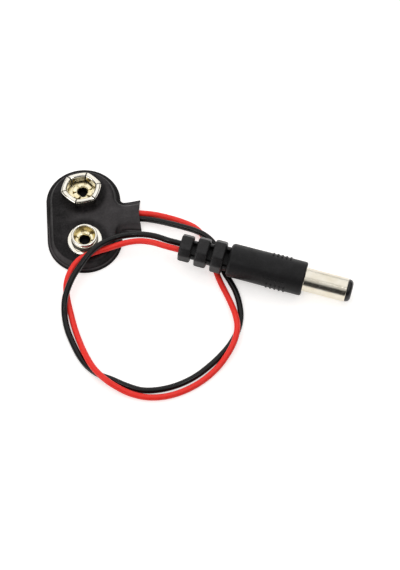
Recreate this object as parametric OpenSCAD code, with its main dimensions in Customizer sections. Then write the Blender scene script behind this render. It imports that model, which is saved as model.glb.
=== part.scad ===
// 9 V battery snap on two leads that end in a DC barrel plug.
// Millimetres, +Z up. The origin lies on the pad's back face, midway between the two contacts.
// +Y runs from the stud to the crown, and +X runs out along the tab that the leads leave by.

/* [Pad] */
// Radius of the pad's two round ends
pad_r = 8.6; // [8:0.1:10]
// Distance between the centres of the round ends
lobe_spacing = 10; // [9:0.5:14]
// Thickness of each vinyl sheet
sheet_t = 0.4; // [0.3:0.05:0.6]
// Width of the welded rim around the pad
rim_w = 0.7; // [0.4:0.1:1]
// How far the formed side wall leans in on its way up
wall_lean = 0.7; // [0.3:0.1:1]
// Width and height of the chamfer on the top edge
top_chamfer = 0.3; // [0.1:0.05:0.4]
// Distance from the contacts' line to the tab's open end
tab_reach = 13.2; // [12:0.2:14]
// Width of the tab where it leaves the pad
tab_root_w = 8.0; // [7.5:0.1:9]
// Width of the tab at its flared end
tab_end_w = 8.9; // [8:0.1:10]
// Width of the weld along each side of the tab
tab_weld_w = 0.6; // [0.3:0.1:0.8]
// Radius of the fillets between the pad and the tab
tab_fillet_r = 0.9; // [0.5:0.1:2]

/* [Contacts] */
// Distance between the crown's axis and the stud's axis
contact_spacing = 12.7; // [12.5:0.1:13]
// Thickness of the contacts' sheet metal
contact_t = 0.35; // [0.25:0.05:0.45]
// Crown's size across opposite corners
crown_corner_d = 9.4; // [8.8:0.1:9.8]
// Height of the crown above its seat
crown_h = 2.6; // [2.4:0.1:3.4]
// Number of spring petals around the crown
petal_count = 6; // [5:1:8]
// Thickness of a petal
petal_t = 0.3; // [0.2:0.05:0.4]
// Width of a petal's rolled top
petal_roll_w = 1.0; // [0.9:0.05:1.1]
// Width of the slits between the petals
petal_slit = 0.35; // [0.2:0.05:0.6]
// How far a petal's foot stands in from its top
petal_splay = 0.3; // [0.1:0.05:0.5]
// How far a petal's inner lip leans in below the roll
lip_lean = 0.15; // [0:0.05:0.25]
// Height of the inner lip, down from the roll's centre
lip_h = 1.0; // [0.5:0.1:1.3]
// Turn of the crown about its axis
crown_turn = 11; // [0:1:60]
// Diameter of the stud's cylindrical head
stud_d = 5.8; // [5.6:0.05:6]
// Height of the stud above its seat
stud_h = 2.6; // [2.4:0.05:3.2]
// Thickness of the stud's wall
stud_wall = 0.45; // [0.3:0.05:0.5]
// Diameter of the neck below the stud's head
stud_neck_d = 5.3; // [5.2:0.05:5.5]
// Height of the neck above the flange
stud_neck_h = 0.5; // [0.3:0.05:0.7]
// Height of the cone between the neck and the head
stud_cone_h = 0.4; // [0.2:0.05:0.5]
// Diameter of the stud's flange
stud_flange_d = 7.8; // [7:0.1:8.2]

/* [Board and eyelets] */
// Width of the fibre board
board_w = 9.2; // [8:0.1:9.6]
// Thickness of the fibre board
board_t = 0.6; // [0.5:0.05:1]
// Diameter of the hole through each eyelet
eyelet_hole_d = 2.2; // [1.8:0.1:2.4]
// Thickness of the eyelets' metal
eyelet_t = 0.25; // [0.2:0.05:0.4]
// Diameter of an eyelet's plain head, on the back
eyelet_head_d = 4.2; // [3.8:0.1:5]
// Diameter of the flare in the crown
socket_flare_d = 4.8; // [4:0.1:5]
// Diameter of the flare in the stud
stud_flare_d = 4.0; // [3.6:0.1:4.2]
// Number of splits in a flare
flare_splits = 6; // [4:1:8]
// Width of a split
flare_split_w = 0.16; // [0.1:0.02:0.3]
// Distance from an eyelet's barrel to the root of a split
split_root = 0.1; // [0.05:0.05:0.2]
// Height of the solder under an eyelet's head
solder_h = 0.65; // [0.6:0.05:0.9]
// Diameter of the solder where it meets an eyelet's head
solder_top_d = 3.2; // [2.8:0.1:3.6]
// Diameter of the solder at its foot
solder_base_d = 2.2; // [1.6:0.1:2.6]
// Room between the solder and the back sheet
solder_room = 0.1; // [0.05:0.05:0.5]

/* [Leads] */
// Diameter over a lead's insulation
lead_d = 1.4; // [1.2:0.05:1.4]
// Diameter of the bundle of copper strands
strand_d = 0.5; // [0.4:0.05:0.55]
// Room between a lead and the walls of the tab's channel
lead_room = 0.05; // [0.05:0.05:0.3]
// Distance from the contacts' line to the end of the insulation in the pad
lead_strip_x = 6.6; // [6.2:0.1:7.5]
// Distance between the two leads' centres in the plug
lead_plug_pair = 1.6; // [1.55:0.05:1.8]
// Depth that the insulation reaches into the plug's inner moulding
lead_in_mould = 1.4; // [1:0.1:2]

/* [Plug strain relief] */
// Number of ribs
rib_count = 3; // [2:1:4]
// Length of a rib along the plug
rib_len = 2.8; // [2.4:0.1:3]
// Gap between two ribs
rib_gap = 1; // [0.8:0.1:1.4]
// Width of the rib nearest the body
rib_w = 7.0; // [6.8:0.1:7.4]
// Height of the rib nearest the body
rib_h = 6.6; // [6.2:0.1:6.8]
// How much narrower and lower each rib is than the next one
rib_step = 0.6; // [0.4:0.05:0.65]
// Depth of the notch at each side of a gap
notch_depth = 0.7; // [0.4:0.05:0.9]
// Step from a rib's top down to the webs
web_drop = 0.8; // [0.7:0.05:1]
// Width of a web between two ribs
web_w = 0.9; // [0.6:0.05:1]
// Height of the core that holds the leads
core_h = 2.2; // [2:0.1:2.6]

/* [Plug body] */
// Length of the moulded body
body_len = 17.6; // [17:0.2:20]
// Diameter at the body's rear
body_rear_d = 7.7; // [7.5:0.1:8.3]
// Diameter at the body's front
body_front_d = 7.8; // [7.6:0.1:8.6]
// Radius of the rounded edges
body_round = 0.8; // [0.4:0.1:0.9]
// Diameter of the inner moulding
inner_mould_d = 6.4; // [6.2:0.1:6.6]
// Thickness of the overmould behind the inner moulding
inner_mould_back = 1.2; // [0.8:0.1:2]
// Number of grip ridges along each side
grip_count = 5; // [3:1:5]
// Distance between two grip ridges
grip_pitch = 1.3; // [1.1:0.1:1.4]
// Diameter of a grip ridge
grip_d = 0.6; // [0.4:0.05:0.8]
// Length of a grip ridge
grip_len = 3.2; // [2:0.2:4]
// Distance from the body's front face to the nearest grip ridge
grip_inset = 3.4; // [2.5:0.1:5]

/* [Plug contacts] */
// Outside diameter of the barrel
sleeve_d = 5.5; // [5.4:0.1:5.6]
// Thickness of the barrel's wall
sleeve_wall = 0.4; // [0.3:0.05:0.5]
// Length of the barrel in front of the body
sleeve_len = 9.8; // [9:0.1:10.5]
// Depth of the barrel inside the body
sleeve_seat = 3.0; // [2.6:0.1:3.4]
// Diameter of the barrel's root, inside the body
root_d = 5.9; // [5.7:0.1:6.2]
// Diameter of the barrel's collar, inside the body
collar_d = 6.8; // [6.4:0.1:7]
// Thickness of the collar
collar_t = 1.0; // [0.8:0.1:1.2]
// Length of the insulator's rounded nose
nose_len = 1.2; // [0.8:0.1:1.5]
// Diameter of the nose
nose_d = 5.1; // [4.9:0.05:5.3]
// Radius of the nose's outer edge
nose_round = 0.8; // [0.3:0.05:0.8]
// Bore of the centre contact
centre_bore_d = 2.1; // [2:0.05:2.5]
// Depth of the bore
centre_bore_depth = 10; // [8:0.5:11]
// Thickness of the centre contact's wall
centre_wall = 0.3; // [0.2:0.05:0.35]
// How far the centre contact stands back from the nose's end
centre_recess = 0.6; // [0.3:0.1:1]
// Length of the closed end behind the bore
centre_closed = 1.2; // [0.8:0.1:1.6]
// Diameter of the centre contact's solder tail
tail_d = 0.9; // [0.7:0.05:0.9]
// Length of the solder tail
tail_len = 9.2; // [8.5:0.1:9.5]
// Diameter of the boss at the washer's rear
boss_d = 3.4; // [3:0.1:3.6]
// Length of the boss behind the collar
boss_len = 1.4; // [1:0.1:1.8]
// Outside diameter of the sleeve terminal's ring
ring_d = 6.0; // [5.6:0.1:6.2]
// Thickness of the sleeve terminal
terminal_t = 0.4; // [0.3:0.05:0.45]
// Width of the sleeve terminal's tail
terminal_w = 1.6; // [1.2:0.1:1.8]
// Length of the sleeve terminal's tail behind its ring
terminal_len = 10; // [9.6:0.2:10.5]
// Distance from the ring back to the step in the tail
terminal_step = 4.6; // [4:0.2:5]
// Room between the washer's boss and the terminal's tail
terminal_room = 0.2; // [0.1:0.05:0.3]
// Thickness of the solder between the black strands and the terminal's tail
solder_film = 0.1; // [0.05:0.05:0.15]
// Distance from a tail's end to the solder on it
joint_inset = 0.2; // [0.1:0.05:0.4]
// Length of a solder joint
joint_len = 2.2; // [2:0.1:2.4]
// Length of the strands beside a tail
joint_lap = 2.0; // [1.6:0.1:2.2]
// Diameter of the solder on the centre contact's tail
centre_joint_d = 2.2; // [2.1:0.05:2.4]
// Diameter of the solder on the sleeve terminal's tail
sleeve_joint_d = 1.6; // [1.4:0.05:1.8]

/* [How the plug lies] */
// Place of the plug's rear end, along the tab's direction
plug_x = 21.6; // [21:0.1:22]
// Place of the plug's rear end, along the contacts' line
plug_y = -11.2; // [-11.6:0.1:-11]
// Turn of the plug on the surface
plug_yaw = -19; // [-20:0.5:-18]
// How far the plug's nose tips down from its rear, which lies on the leads
plug_pitch = 3; // [3:0.1:3.6]

/* [Hidden] */
$fn = 64;

// Room left around a piece that sits inside another
fit_gap = 0.02;
// Overshoot of a cutting shape past the face that it cuts
cut = 1;

// Levels in the pad, from its back face up
pad_h = 2 * sheet_t + board_t + eyelet_t + solder_h + solder_room;
tab_h = lead_d + 2 * (sheet_t + lead_room);
pocket_top = pad_h - sheet_t;
board_z = pocket_top - board_t;
head_z = board_z - eyelet_t;
flare_z = pad_h + contact_t;
strand_z = head_z - solder_h / 2;
lead_z = tab_h / 2;

// Sizes across the pad and the tab
lobe_y = lobe_spacing / 2;
body_wall_r = pad_r - rim_w;
plateau_r = body_wall_r - wall_lean;
tab_wall = tab_root_w / 2 - tab_weld_w;
channel = tab_wall - sheet_t;
eyelet_d = eyelet_hole_d + 2 * eyelet_t;

// Ends of the leads in the pad, and the neck where they draw together
lead_pad_y = channel - lead_room - lead_d / 2;
lead_neck_run = 3;
lead_neck_x = lead_strip_x + lead_neck_run;
lead_neck_y = 1.2;
// Bared strands leave a lead straight, then bend down to their eyelet
strand_straight = 0.5;
strand_bend_run = 1.6;
strand_bend_x = lead_strip_x - strand_bend_run;
strand_bend_spread = 0.6;
strand_bend_y = lead_pad_y + strand_bend_spread;

// Stations along the plug's axis, from its rear end
rib_pitch = rib_len + rib_gap;
strain_len = rib_count * rib_pitch;
face_x = strain_len + body_len;
collar_x = face_x - sleeve_seat;
mould_x = strain_len + inner_mould_back;
ring_x = collar_x - terminal_t;
tip_x = face_x + sleeve_len;
nose_x = tip_x + nose_len;
contact_x = nose_x - centre_recess;
bore_x = contact_x - centre_bore_depth;
shoulder_x = bore_x - centre_closed;
tail_x = shoulder_x - tail_len;
centre_d = centre_bore_d + 2 * centre_wall;
sleeve_bore_d = sleeve_d - 2 * sleeve_wall;
lead_y = lead_plug_pair / 2;
lead_in_plug = mould_x + lead_in_mould;
plug_run_in = 3;
terminal_x = ring_x - terminal_len;
terminal_low = lead_y + strand_d / 2 + solder_film;
terminal_high = boss_d / 2 + fit_gap + terminal_room;
red_strand_end = tail_x + joint_lap;
black_strand_end = terminal_x + joint_lap;

// The body's front edge touches the surface that the pad lies on
front_edge = [face_x - body_round, body_front_d / 2 - body_round];
plug_z = front_edge.x * sin(plug_pitch) + front_edge.y * cos(plug_pitch) + body_round;
plug_at = [plug_x, plug_y, plug_z];

// A point of the plug's own frame, in the part's frame
function plug_point(p) =
    let (x = p.x * cos(plug_pitch) + p.z * sin(plug_pitch))
    let (z = p.z * cos(plug_pitch) - p.x * sin(plug_pitch))
    plug_at + [x * cos(plug_yaw) - p.y * sin(plug_yaw), x * sin(plug_yaw) + p.y * cos(plug_yaw), z];

// Free run of the red lead, from the tab round the loop to the plug
red_run = [
    [13, 0.7, lead_z], [16.5, 0, 1.2], [19.98, -0.95, 0.8], [22.9, -2.2, 0.7], [25.4, -3.78, 0.7],
    [27.05, -6, 0.7], [28.06, -8.78, 0.7], [28.73, -12.03, 0.7], [29.32, -15.08, 0.7],
    [30.19, -18.35, 0.7], [31.37, -21.64, 0.7], [32.34, -24.92, 1.2], [32.93, -27.97, 1.9],
    [33.03, -30.88, 2.2], [32.21, -33.93, 2.1], [30.5, -36.92, 1.7], [27.99, -39.85, 1],
    [24.69, -42.53, 0.7], [20.74, -44.66, 0.7], [16.44, -45.86, 0.7], [12.23, -45.86, 0.7],
    [8.5, -44.8, 0.9], [5.4, -43.18, 1.5], [2.83, -41.3, 2.2], [0.7, -38.74, 2.3], [-0.87, -35.43, 1.8],
    [-2.12, -31.73, 1], [-3.16, -28.05, 0.8], [-3.91, -24.35, 0.84], [-4.55, -20.67, 1.38],
    [-4.64, -17.62, 2.32], [-3.65, -14.85, 3.16], [-1.97, -12.43, 3.5], [0.24, -10.88, 3.5],
    [2.71, -10.05, 3.5], [5.97, -9.18, 3.5], [9.23, -8.54, 3.96], [12.42, -8.69, 4.72],
    [15.37, -9.63, 5.38]
];
// Free run of the black lead
black_run = [
    [13, -0.8, lead_z], [16.4, -1.75, 1.6], [19.83, -3.1, 2], [22.76, -4.3, 2.2], [25.29, -5.38, 2.2],
    [27.4, -6.73, 2.2], [29.08, -8.45, 1.9], [30.22, -10.73, 1.3], [30.86, -13.18, 0.8],
    [31.27, -15.82, 0.7], [32.4, -18.3, 0.7], [33.5, -21.19, 0.7], [34.08, -24.44, 0.7],
    [34.05, -27.74, 0.7], [33.12, -30.99, 0.7], [31.52, -33.78, 0.7], [29.55, -36.15, 0.7],
    [26.76, -38.76, 0.7], [23.17, -41.42, 0.7], [19.23, -43.25, 0.7], [15.16, -44.16, 0.7],
    [11.15, -44.09, 0.7], [7.64, -42.74, 0.7], [4.55, -41.02, 0.7], [1.74, -39.62, 0.7],
    [-0.62, -37.55, 0.7], [-2.43, -34.72, 0.7], [-3.8, -31.41, 0.7], [-4.87, -28.03, 0.9],
    [-5.33, -24.66, 1.44], [-5.12, -21.63, 2.68], [-4.23, -18.96, 3.42], [-2.94, -16.31, 3.86],
    [-1.16, -13.79, 4.3], [0.58, -11.71, 4.9], [2.51, -9.94, 5.1], [4.84, -8.2, 4.6],
    [7.53, -6.98, 4.1], [10.56, -6.63, 4.16], [13.54, -7.07, 4.72], [16.28, -8.09, 5.28]
];

function lead_end(side) = [lead_strip_x, side * lead_pad_y, lead_z];
function lead_neck(side) = [lead_neck_x, side * lead_neck_y, lead_z];

// Whole route of a lead: its end in the pad, its free run, and its end in the plug
function lead_route(run, side) = concat(
    [lead_end(side), lead_neck(side)],
    run,
    [plug_point([-plug_run_in, -side * lead_y, 0])],
    [for (k = [0:rib_count]) plug_point([k * rib_pitch, -side * lead_y, 0])],
    [plug_point([lead_in_plug, -side * lead_y, 0])]
);

function unit(v) = v / norm(v);

// Route of the bared strands, from the insulation's end to the solder on the back of an eyelet
function strand_route(side) =
    let (back = unit(lead_end(side) - lead_neck(side)))
    [
        lead_end(side), lead_end(side) + strand_straight * back,
        [strand_bend_x, side * strand_bend_y, strand_z], [0, side * contact_spacing / 2, strand_z]
    ];

// Direction of travel at one point of a route
function heading(route, i) =
    let (last = len(route) - 1)
    unit(route[min(i + 1, last)] - route[max(i - 1, 0)]);

// One ring of a tube, square to the direction of travel
function tube_ring(centre, along, d, sides) =
    let (across = unit(cross(along, [0, 0, 1])))
    let (upward = cross(across, along))
    let (step = 360 / sides)
    [for (k = [0:sides - 1]) centre + d / 2 * (cos(k * step) * across + sin(k * step) * upward)];

// A round tube swept along a route's own points
module tube(route, d, sides = 8) {
    rings = len(route);
    points = [for (i = [0:rings - 1]) each tube_ring(route[i], heading(route, i), d, sides)];
    skin = [
        for (i = [0:rings - 2])
            let (near = i * sides)
            let (far = near + sides)
            for (k = [0:sides - 1])
                let (next = (k + 1) % sides)
                [near + k, near + next, far + next, far + k]
    ];
    start_cap = [[for (k = [sides - 1:-1:0]) k]];
    end_cap = [[for (k = [0:sides - 1]) (rings - 1) * sides + k]];
    polyhedron(points, concat(start_cap, skin, end_cap), convexity = 10);
}

// Stadium with its length along Y, around the two lobes
module lobes(r) {
    for (side = [-1, 1])
        translate([0, side * lobe_y])
            circle(r = r);
    square([2 * r, lobe_spacing], center = true);
}

// Tapered stadium between two heights
module lobe_frustum(r0, r1, z0, z1) {
    for (side = [-1, 1])
        translate([0, side * lobe_y, z0])
            cylinder(r1 = r0, r2 = r1, h = z1 - z0);
    rotate([90, 0, 0])
        linear_extrude(lobe_spacing, center = true)
            polygon([[-r0, z0], [r0, z0], [r1, z1], [-r1, z1]]);
}

// Outline of the welded sheets: the pad, the flared tab and the fillets between them
module pad_outline() {
    root = tab_root_w / 2;
    end = tab_end_w / 2;
    lobes(pad_r);
    polygon([[0, -root], [pad_r, -root], [tab_reach, -end], [tab_reach, end], [pad_r, root], [0, root]]);
    for (side = [-1, 1])
        difference() {
            translate([0, side > 0 ? root : -root - tab_fillet_r])
                square([pad_r + tab_fillet_r, tab_fillet_r]);
            translate([pad_r + tab_fillet_r, side * (root + tab_fillet_r)])
                circle(r = tab_fillet_r);
        }
}

// Straight length of the tab's raised part, or of the channel in it
module tab_run(half, lean, z0, z1, x0, x1) {
    translate([x0, 0, 0])
        rotate([90, 0, 90])
            linear_extrude(x1 - x0)
                polygon([[-half, z0], [half, z0], [half - lean, z1], [lean - half, z1]]);
}

// Places its children on the crown's axis or the stud's axis
module at_contact(side, z) {
    translate([0, side * contact_spacing / 2, z])
        children();
}

module back_cover() {
    color("#1d1c1e")
        linear_extrude(sheet_t)
            pad_outline();
}

module top_cover() {
    color("#252426")
        difference() {
            union() {
                translate([0, 0, sheet_t])
                    linear_extrude(sheet_t)
                        pad_outline();
                lobe_frustum(body_wall_r, plateau_r, sheet_t, pad_h - top_chamfer);
                lobe_frustum(plateau_r, plateau_r - top_chamfer, pad_h - top_chamfer, pad_h);
                tab_run(tab_wall, top_chamfer, sheet_t, tab_h, strand_bend_x - sheet_t, tab_reach);
            }
            lobe_frustum(body_wall_r - sheet_t, plateau_r - sheet_t, sheet_t - fit_gap, pocket_top);
            tab_run(channel, 0, sheet_t - fit_gap, tab_h - sheet_t, strand_bend_x, tab_reach + cut);
            for (side = [-1, 1])
                at_contact(side, 0)
                    cylinder(d = eyelet_d + 2 * fit_gap, h = pad_h + cut);
        }
}

module contact_board() {
    color("#8a6f4d")
        difference() {
            translate([0, 0, board_z])
                linear_extrude(board_t) {
                    for (side = [-1, 1])
                        translate([0, side * contact_spacing / 2])
                            circle(d = board_w);
                    square([board_w, contact_spacing], center = true);
                }
            for (side = [-1, 1])
                at_contact(side, 0)
                    cylinder(d = eyelet_d + 2 * fit_gap, h = pad_h);
        }
}

// Section of one petal, out from the crown's axis and up from its seat
module petal_section() {
    top_u = crown_corner_d / 2 * cos(180 / petal_count);
    foot_u = top_u - petal_splay;
    roll_v = crown_h - petal_roll_w / 2;
    lip_u = top_u - petal_roll_w;
    polygon([[foot_u - petal_t, 0], [foot_u, 0], [top_u, roll_v], [top_u - petal_t, roll_v]]);
    translate([top_u - petal_roll_w / 2, roll_v])
        difference() {
            circle(d = petal_roll_w);
            circle(d = petal_roll_w - 2 * petal_t);
            translate([-petal_roll_w, -petal_roll_w])
                square([2 * petal_roll_w, petal_roll_w]);
        }
    polygon([
        [lip_u, roll_v], [lip_u + petal_t, roll_v],
        [lip_u - lip_lean + petal_t, roll_v - lip_h], [lip_u - lip_lean, roll_v - lip_h]
    ]);
}

// Wedge that one petal keeps to, with half a slit on each side
module petal_wedge() {
    half = 180 / petal_count;
    apex = petal_slit / 2 / sin(half);
    reach = crown_corner_d;
    linear_extrude(crown_h + cut)
        polygon([[apex, 0], [reach, (reach - apex) * tan(half)], [reach, -(reach - apex) * tan(half)]]);
}

module socket_crown() {
    base_r = crown_corner_d / 2 * cos(180 / petal_count) - petal_splay;
    color("#d8d4c8")
        at_contact(1, pad_h)
            rotate(crown_turn + 180 / petal_count) {
                difference() {
                    cylinder(r = base_r, h = contact_t);
                    translate([0, 0, -cut])
                        cylinder(d = eyelet_d + 2 * fit_gap, h = contact_t + 2 * cut);
                }
                for (k = [0:petal_count - 1])
                    rotate(k * 360 / petal_count)
                        intersection() {
                            rotate([90, 0, 0])
                                linear_extrude(crown_corner_d, center = true)
                                    petal_section();
                            petal_wedge();
                        }
            }
}

module stud_cup() {
    head = stud_d / 2;
    neck = stud_neck_d / 2;
    hole = eyelet_d / 2 + fit_gap;
    neck_top = contact_t + stud_neck_h;
    head_foot = neck_top + stud_cone_h;
    head_top = stud_h - stud_wall / 2;
    color("#d8d4c8")
        at_contact(-1, pad_h)
            rotate_extrude() {
                polygon([
                    [hole, 0], [stud_flange_d / 2, 0], [stud_flange_d / 2, contact_t], [neck, contact_t],
                    [neck, neck_top], [head, head_foot], [head, head_top],
                    [head - stud_wall, head_top], [head - stud_wall, head_foot],
                    [neck - stud_wall, neck_top], [neck - stud_wall, contact_t], [hole, contact_t]
                ]);
                translate([head - stud_wall / 2, head_top])
                    circle(d = stud_wall);
            }
}

// Hollow eyelet: a plain head under the board, a barrel, and a split flare in the contact
module eyelet(side, flare_d) {
    at_contact(side, 0)
        difference() {
            union() {
                translate([0, 0, head_z])
                    cylinder(d = eyelet_head_d, h = eyelet_t);
                translate([0, 0, head_z])
                    cylinder(d = eyelet_d, h = flare_z - head_z);
                translate([0, 0, flare_z])
                    cylinder(d = flare_d, h = eyelet_t);
            }
            translate([0, 0, head_z - cut])
                cylinder(d = eyelet_hole_d, h = pad_h + 2 * cut);
            for (k = [0:flare_splits - 1])
                rotate(k * 360 / flare_splits)
                    translate([eyelet_d / 2 + split_root, -flare_split_w / 2, flare_z - cut])
                        cube([flare_d, flare_split_w, eyelet_t + 2 * cut]);
        }
}

module socket_eyelet() {
    color("#b9a878")
        eyelet(1, socket_flare_d);
}

module stud_eyelet() {
    color("#b9a878")
        eyelet(-1, stud_flare_d);
}

module red_strand_snap() {
    color("#b87440")
        tube(strand_route(1), strand_d);
}

module black_strand_snap() {
    color("#b87440")
        tube(strand_route(-1), strand_d);
}

// Solder cone under an eyelet's head, around the end of the strands
module snap_solder(side) {
    difference() {
        at_contact(side, head_z - solder_h)
            cylinder(d1 = solder_base_d, d2 = solder_top_d, h = solder_h);
        tube(strand_route(side), strand_d + 2 * fit_gap);
    }
}

module socket_solder() {
    color("#a9abad")
        snap_solder(1);
}

module stud_solder() {
    color("#a9abad")
        snap_solder(-1);
}

module red_lead() {
    color("#d42a22")
        tube(lead_route(red_run, 1), lead_d);
}

module black_lead() {
    color("#222123")
        tube(lead_route(black_run, -1), lead_d);
}

// Places its children in the plug's own frame, with +X along its axis to the nose
module in_plug() {
    translate(plug_at)
        rotate([0, plug_pitch, plug_yaw])
            children();
}

// A round bar along the plug's axis
module axial(d, from, to, y = 0) {
    translate([from, y, 0])
        rotate([0, 90, 0])
            cylinder(d = d, h = to - from);
}

// Extrudes a section of the plug, drawn as Y and Z, along its axis
module along_plug(from, to) {
    translate([from, 0, 0])
        rotate([90, 0, 90])
            linear_extrude(to - from)
                children();
}

// Flat-sided oval
module oval(w, h) {
    for (side = [-1, 1])
        translate([side * (w - h) / 2, 0])
            circle(d = h);
    square([w - h, h], center = true);
}

// Ribs, and between them a narrower neck with a window above and below the core
module strain_relief() {
    for (k = [0:rib_count - 1]) {
        w = rib_w - (rib_count - 1 - k) * rib_step;
        h = rib_h - (rib_count - 1 - k) * rib_step;
        neck_w = w - 2 * notch_depth;
        neck_h = h - 2 * web_drop;
        start = k * rib_pitch;
        along_plug(start, start + rib_len)
            oval(w, h);
        along_plug(start + rib_len, start + rib_pitch)
            difference() {
                oval(neck_w, neck_h);
                for (side = [-1, 1])
                    translate([0, side * (core_h / 2 + neck_h / 2)])
                        square([neck_w - 2 * web_w, neck_h], center = true);
            }
    }
}

// Turned outside of the body, with rounded edges
module body_form() {
    rear = body_rear_d / 2;
    front = body_front_d / 2;
    rotate([0, 90, 0])
        rotate_extrude() {
            polygon([
                [0, strain_len], [rear - body_round, strain_len], [rear, strain_len + body_round],
                [front, face_x - body_round], [front - body_round, face_x], [0, face_x]
            ]);
            translate([rear - body_round, strain_len + body_round])
                circle(r = body_round);
            translate([front - body_round, face_x - body_round])
                circle(r = body_round);
        }
}

// Rows of short grip ridges on both sides of the body
module grips() {
    for (side = [-1, 1])
        for (k = [0:grip_count - 1])
            translate([face_x - grip_inset - k * grip_pitch, side * (body_front_d / 2 - grip_d / 4), 0])
                cylinder(d = grip_d, h = grip_len, center = true);
}

module plug_overmould() {
    color("#262527")
        in_plug()
            difference() {
                union() {
                    strain_relief();
                    body_form();
                    grips();
                }
                for (side = [-1, 1])
                    axial(lead_d + 2 * fit_gap, -cut, mould_x + cut, side * lead_y);
                axial(inner_mould_d, mould_x, ring_x);
                axial(ring_d, ring_x - fit_gap, collar_x);
                axial(collar_d, collar_x, collar_x + collar_t);
                axial(root_d, collar_x, face_x + cut);
            }
}

// Everything that the inner moulding closes around, with room on each side
module plug_core_room() {
    for (side = [-1, 1])
        axial(lead_d + 2 * fit_gap, mould_x - cut, lead_in_plug + fit_gap, side * lead_y);
    axial(strand_d + 2 * fit_gap, lead_in_plug, red_strand_end + fit_gap, -lead_y);
    axial(strand_d + 2 * fit_gap, lead_in_plug, black_strand_end + fit_gap, lead_y);
    axial(tail_d + 2 * fit_gap, tail_x - fit_gap, ring_x + cut);
    axial(boss_d + 2 * fit_gap, collar_x - boss_len - fit_gap, ring_x + cut);
    terminal_tail(fit_gap);
    centre_joint(fit_gap);
    sleeve_joint(fit_gap);
}

module plug_inner_mould() {
    color("#d9d7cf")
        in_plug()
            difference() {
                axial(inner_mould_d, mould_x, ring_x);
                plug_core_room();
            }
}

module plug_sleeve() {
    color("#cfcdc6")
        in_plug()
            difference() {
                union() {
                    axial(collar_d, collar_x, collar_x + collar_t);
                    axial(root_d, collar_x, face_x);
                    axial(sleeve_d, collar_x, tip_x);
                }
                axial(sleeve_bore_d, collar_x - cut, tip_x + cut);
            }
}

// Rounded end of the insulator, in front of the barrel
module nose() {
    r = nose_d / 2;
    edge = r - nose_round;
    rotate([0, 90, 0])
        rotate_extrude()
            intersection() {
                translate([0, tip_x])
                    square([r, nose_len]);
                union() {
                    polygon([[0, tip_x], [r, tip_x], [r, nose_x - nose_round], [edge, nose_x], [0, nose_x]]);
                    translate([edge, nose_x - nose_round])
                        circle(r = nose_round);
                }
            }
}

module plug_insulator() {
    color("#171718")
        in_plug()
            difference() {
                union() {
                    axial(sleeve_bore_d - 2 * fit_gap, shoulder_x, tip_x);
                    nose();
                }
                axial(centre_d + 2 * fit_gap, shoulder_x - cut, nose_x + cut);
            }
}

// Insulating washer behind the barrel's bush, with a boss that the sleeve terminal's ring sits on
module plug_washer() {
    color("#2c2c2d")
        in_plug()
            difference() {
                union() {
                    axial(boss_d, collar_x - boss_len, collar_x + collar_t);
                    axial(sleeve_bore_d - 2 * fit_gap, collar_x, shoulder_x - fit_gap);
                }
                axial(tail_d + 2 * fit_gap, collar_x - boss_len - cut, shoulder_x + cut);
            }
}

module centre_contact() {
    color("#d8cfae")
        in_plug()
            difference() {
                union() {
                    axial(centre_d, shoulder_x, contact_x);
                    axial(tail_d, tail_x, shoulder_x + centre_closed / 2);
                }
                axial(centre_bore_d, bore_x, contact_x + cut);
            }
}

// Stepped tail of the sleeve terminal, grown by some room on each side
module terminal_tail(room) {
    step_x = ring_x - terminal_step;
    wide = terminal_w + 2 * room;
    thick = terminal_t + 2 * room;
    translate([terminal_x - room, terminal_low - room, -wide / 2])
        cube([step_x + thick - terminal_x, thick, wide]);
    translate([step_x - room, terminal_low - room, -wide / 2])
        cube([thick, terminal_high - terminal_low + thick, wide]);
    translate([step_x - room, terminal_high - room, -wide / 2])
        cube([collar_x - step_x + room, thick, wide]);
}

module sleeve_terminal() {
    color("#c2b98f")
        in_plug() {
            difference() {
                axial(ring_d, ring_x, collar_x);
                axial(boss_d + 2 * fit_gap, ring_x - cut, collar_x + cut);
            }
            terminal_tail(0);
        }
}

module red_strand_plug() {
    color("#b87440")
        in_plug()
            axial(strand_d, lead_in_plug, red_strand_end, -lead_y);
}

module black_strand_plug() {
    color("#b87440")
        in_plug()
            axial(strand_d, lead_in_plug, black_strand_end, lead_y);
}

// Solder around the red strands and the tail beside them
module centre_joint(room) {
    from = tail_x + joint_inset;
    axial(centre_joint_d + 2 * room, from - room, from + joint_len + room, -lead_y / 2);
}

module centre_solder() {
    color("#a9abad")
        in_plug()
            difference() {
                centre_joint(0);
                axial(tail_d + 2 * fit_gap, tail_x - cut, shoulder_x);
                axial(strand_d + 2 * fit_gap, lead_in_plug, red_strand_end + fit_gap, -lead_y);
            }
}

// Solder on the inner face of the terminal's tail, around the black strands
module sleeve_joint(room) {
    from = terminal_x + joint_inset;
    intersection() {
        axial(sleeve_joint_d + 2 * room, from - room, from + joint_len + room, terminal_low);
        translate([terminal_x, terminal_low - sleeve_joint_d, -sleeve_joint_d])
            cube([terminal_len, sleeve_joint_d, 2 * sleeve_joint_d]);
    }
}

module sleeve_solder() {
    color("#a9abad")
        in_plug()
            difference() {
                sleeve_joint(0);
                axial(strand_d + 2 * fit_gap, lead_in_plug, black_strand_end + fit_gap, lead_y);
            }
}

top_cover();
back_cover();
contact_board();
socket_crown();
stud_cup();
socket_eyelet();
stud_eyelet();
socket_solder();
stud_solder();
red_strand_snap();
black_strand_snap();
red_lead();
black_lead();
plug_overmould();
plug_inner_mould();
plug_sleeve();
plug_insulator();
plug_washer();
centre_contact();
sleeve_terminal();
red_strand_plug();
black_strand_plug();
centre_solder();
sleeve_solder();
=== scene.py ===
# %% [markdown]
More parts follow.
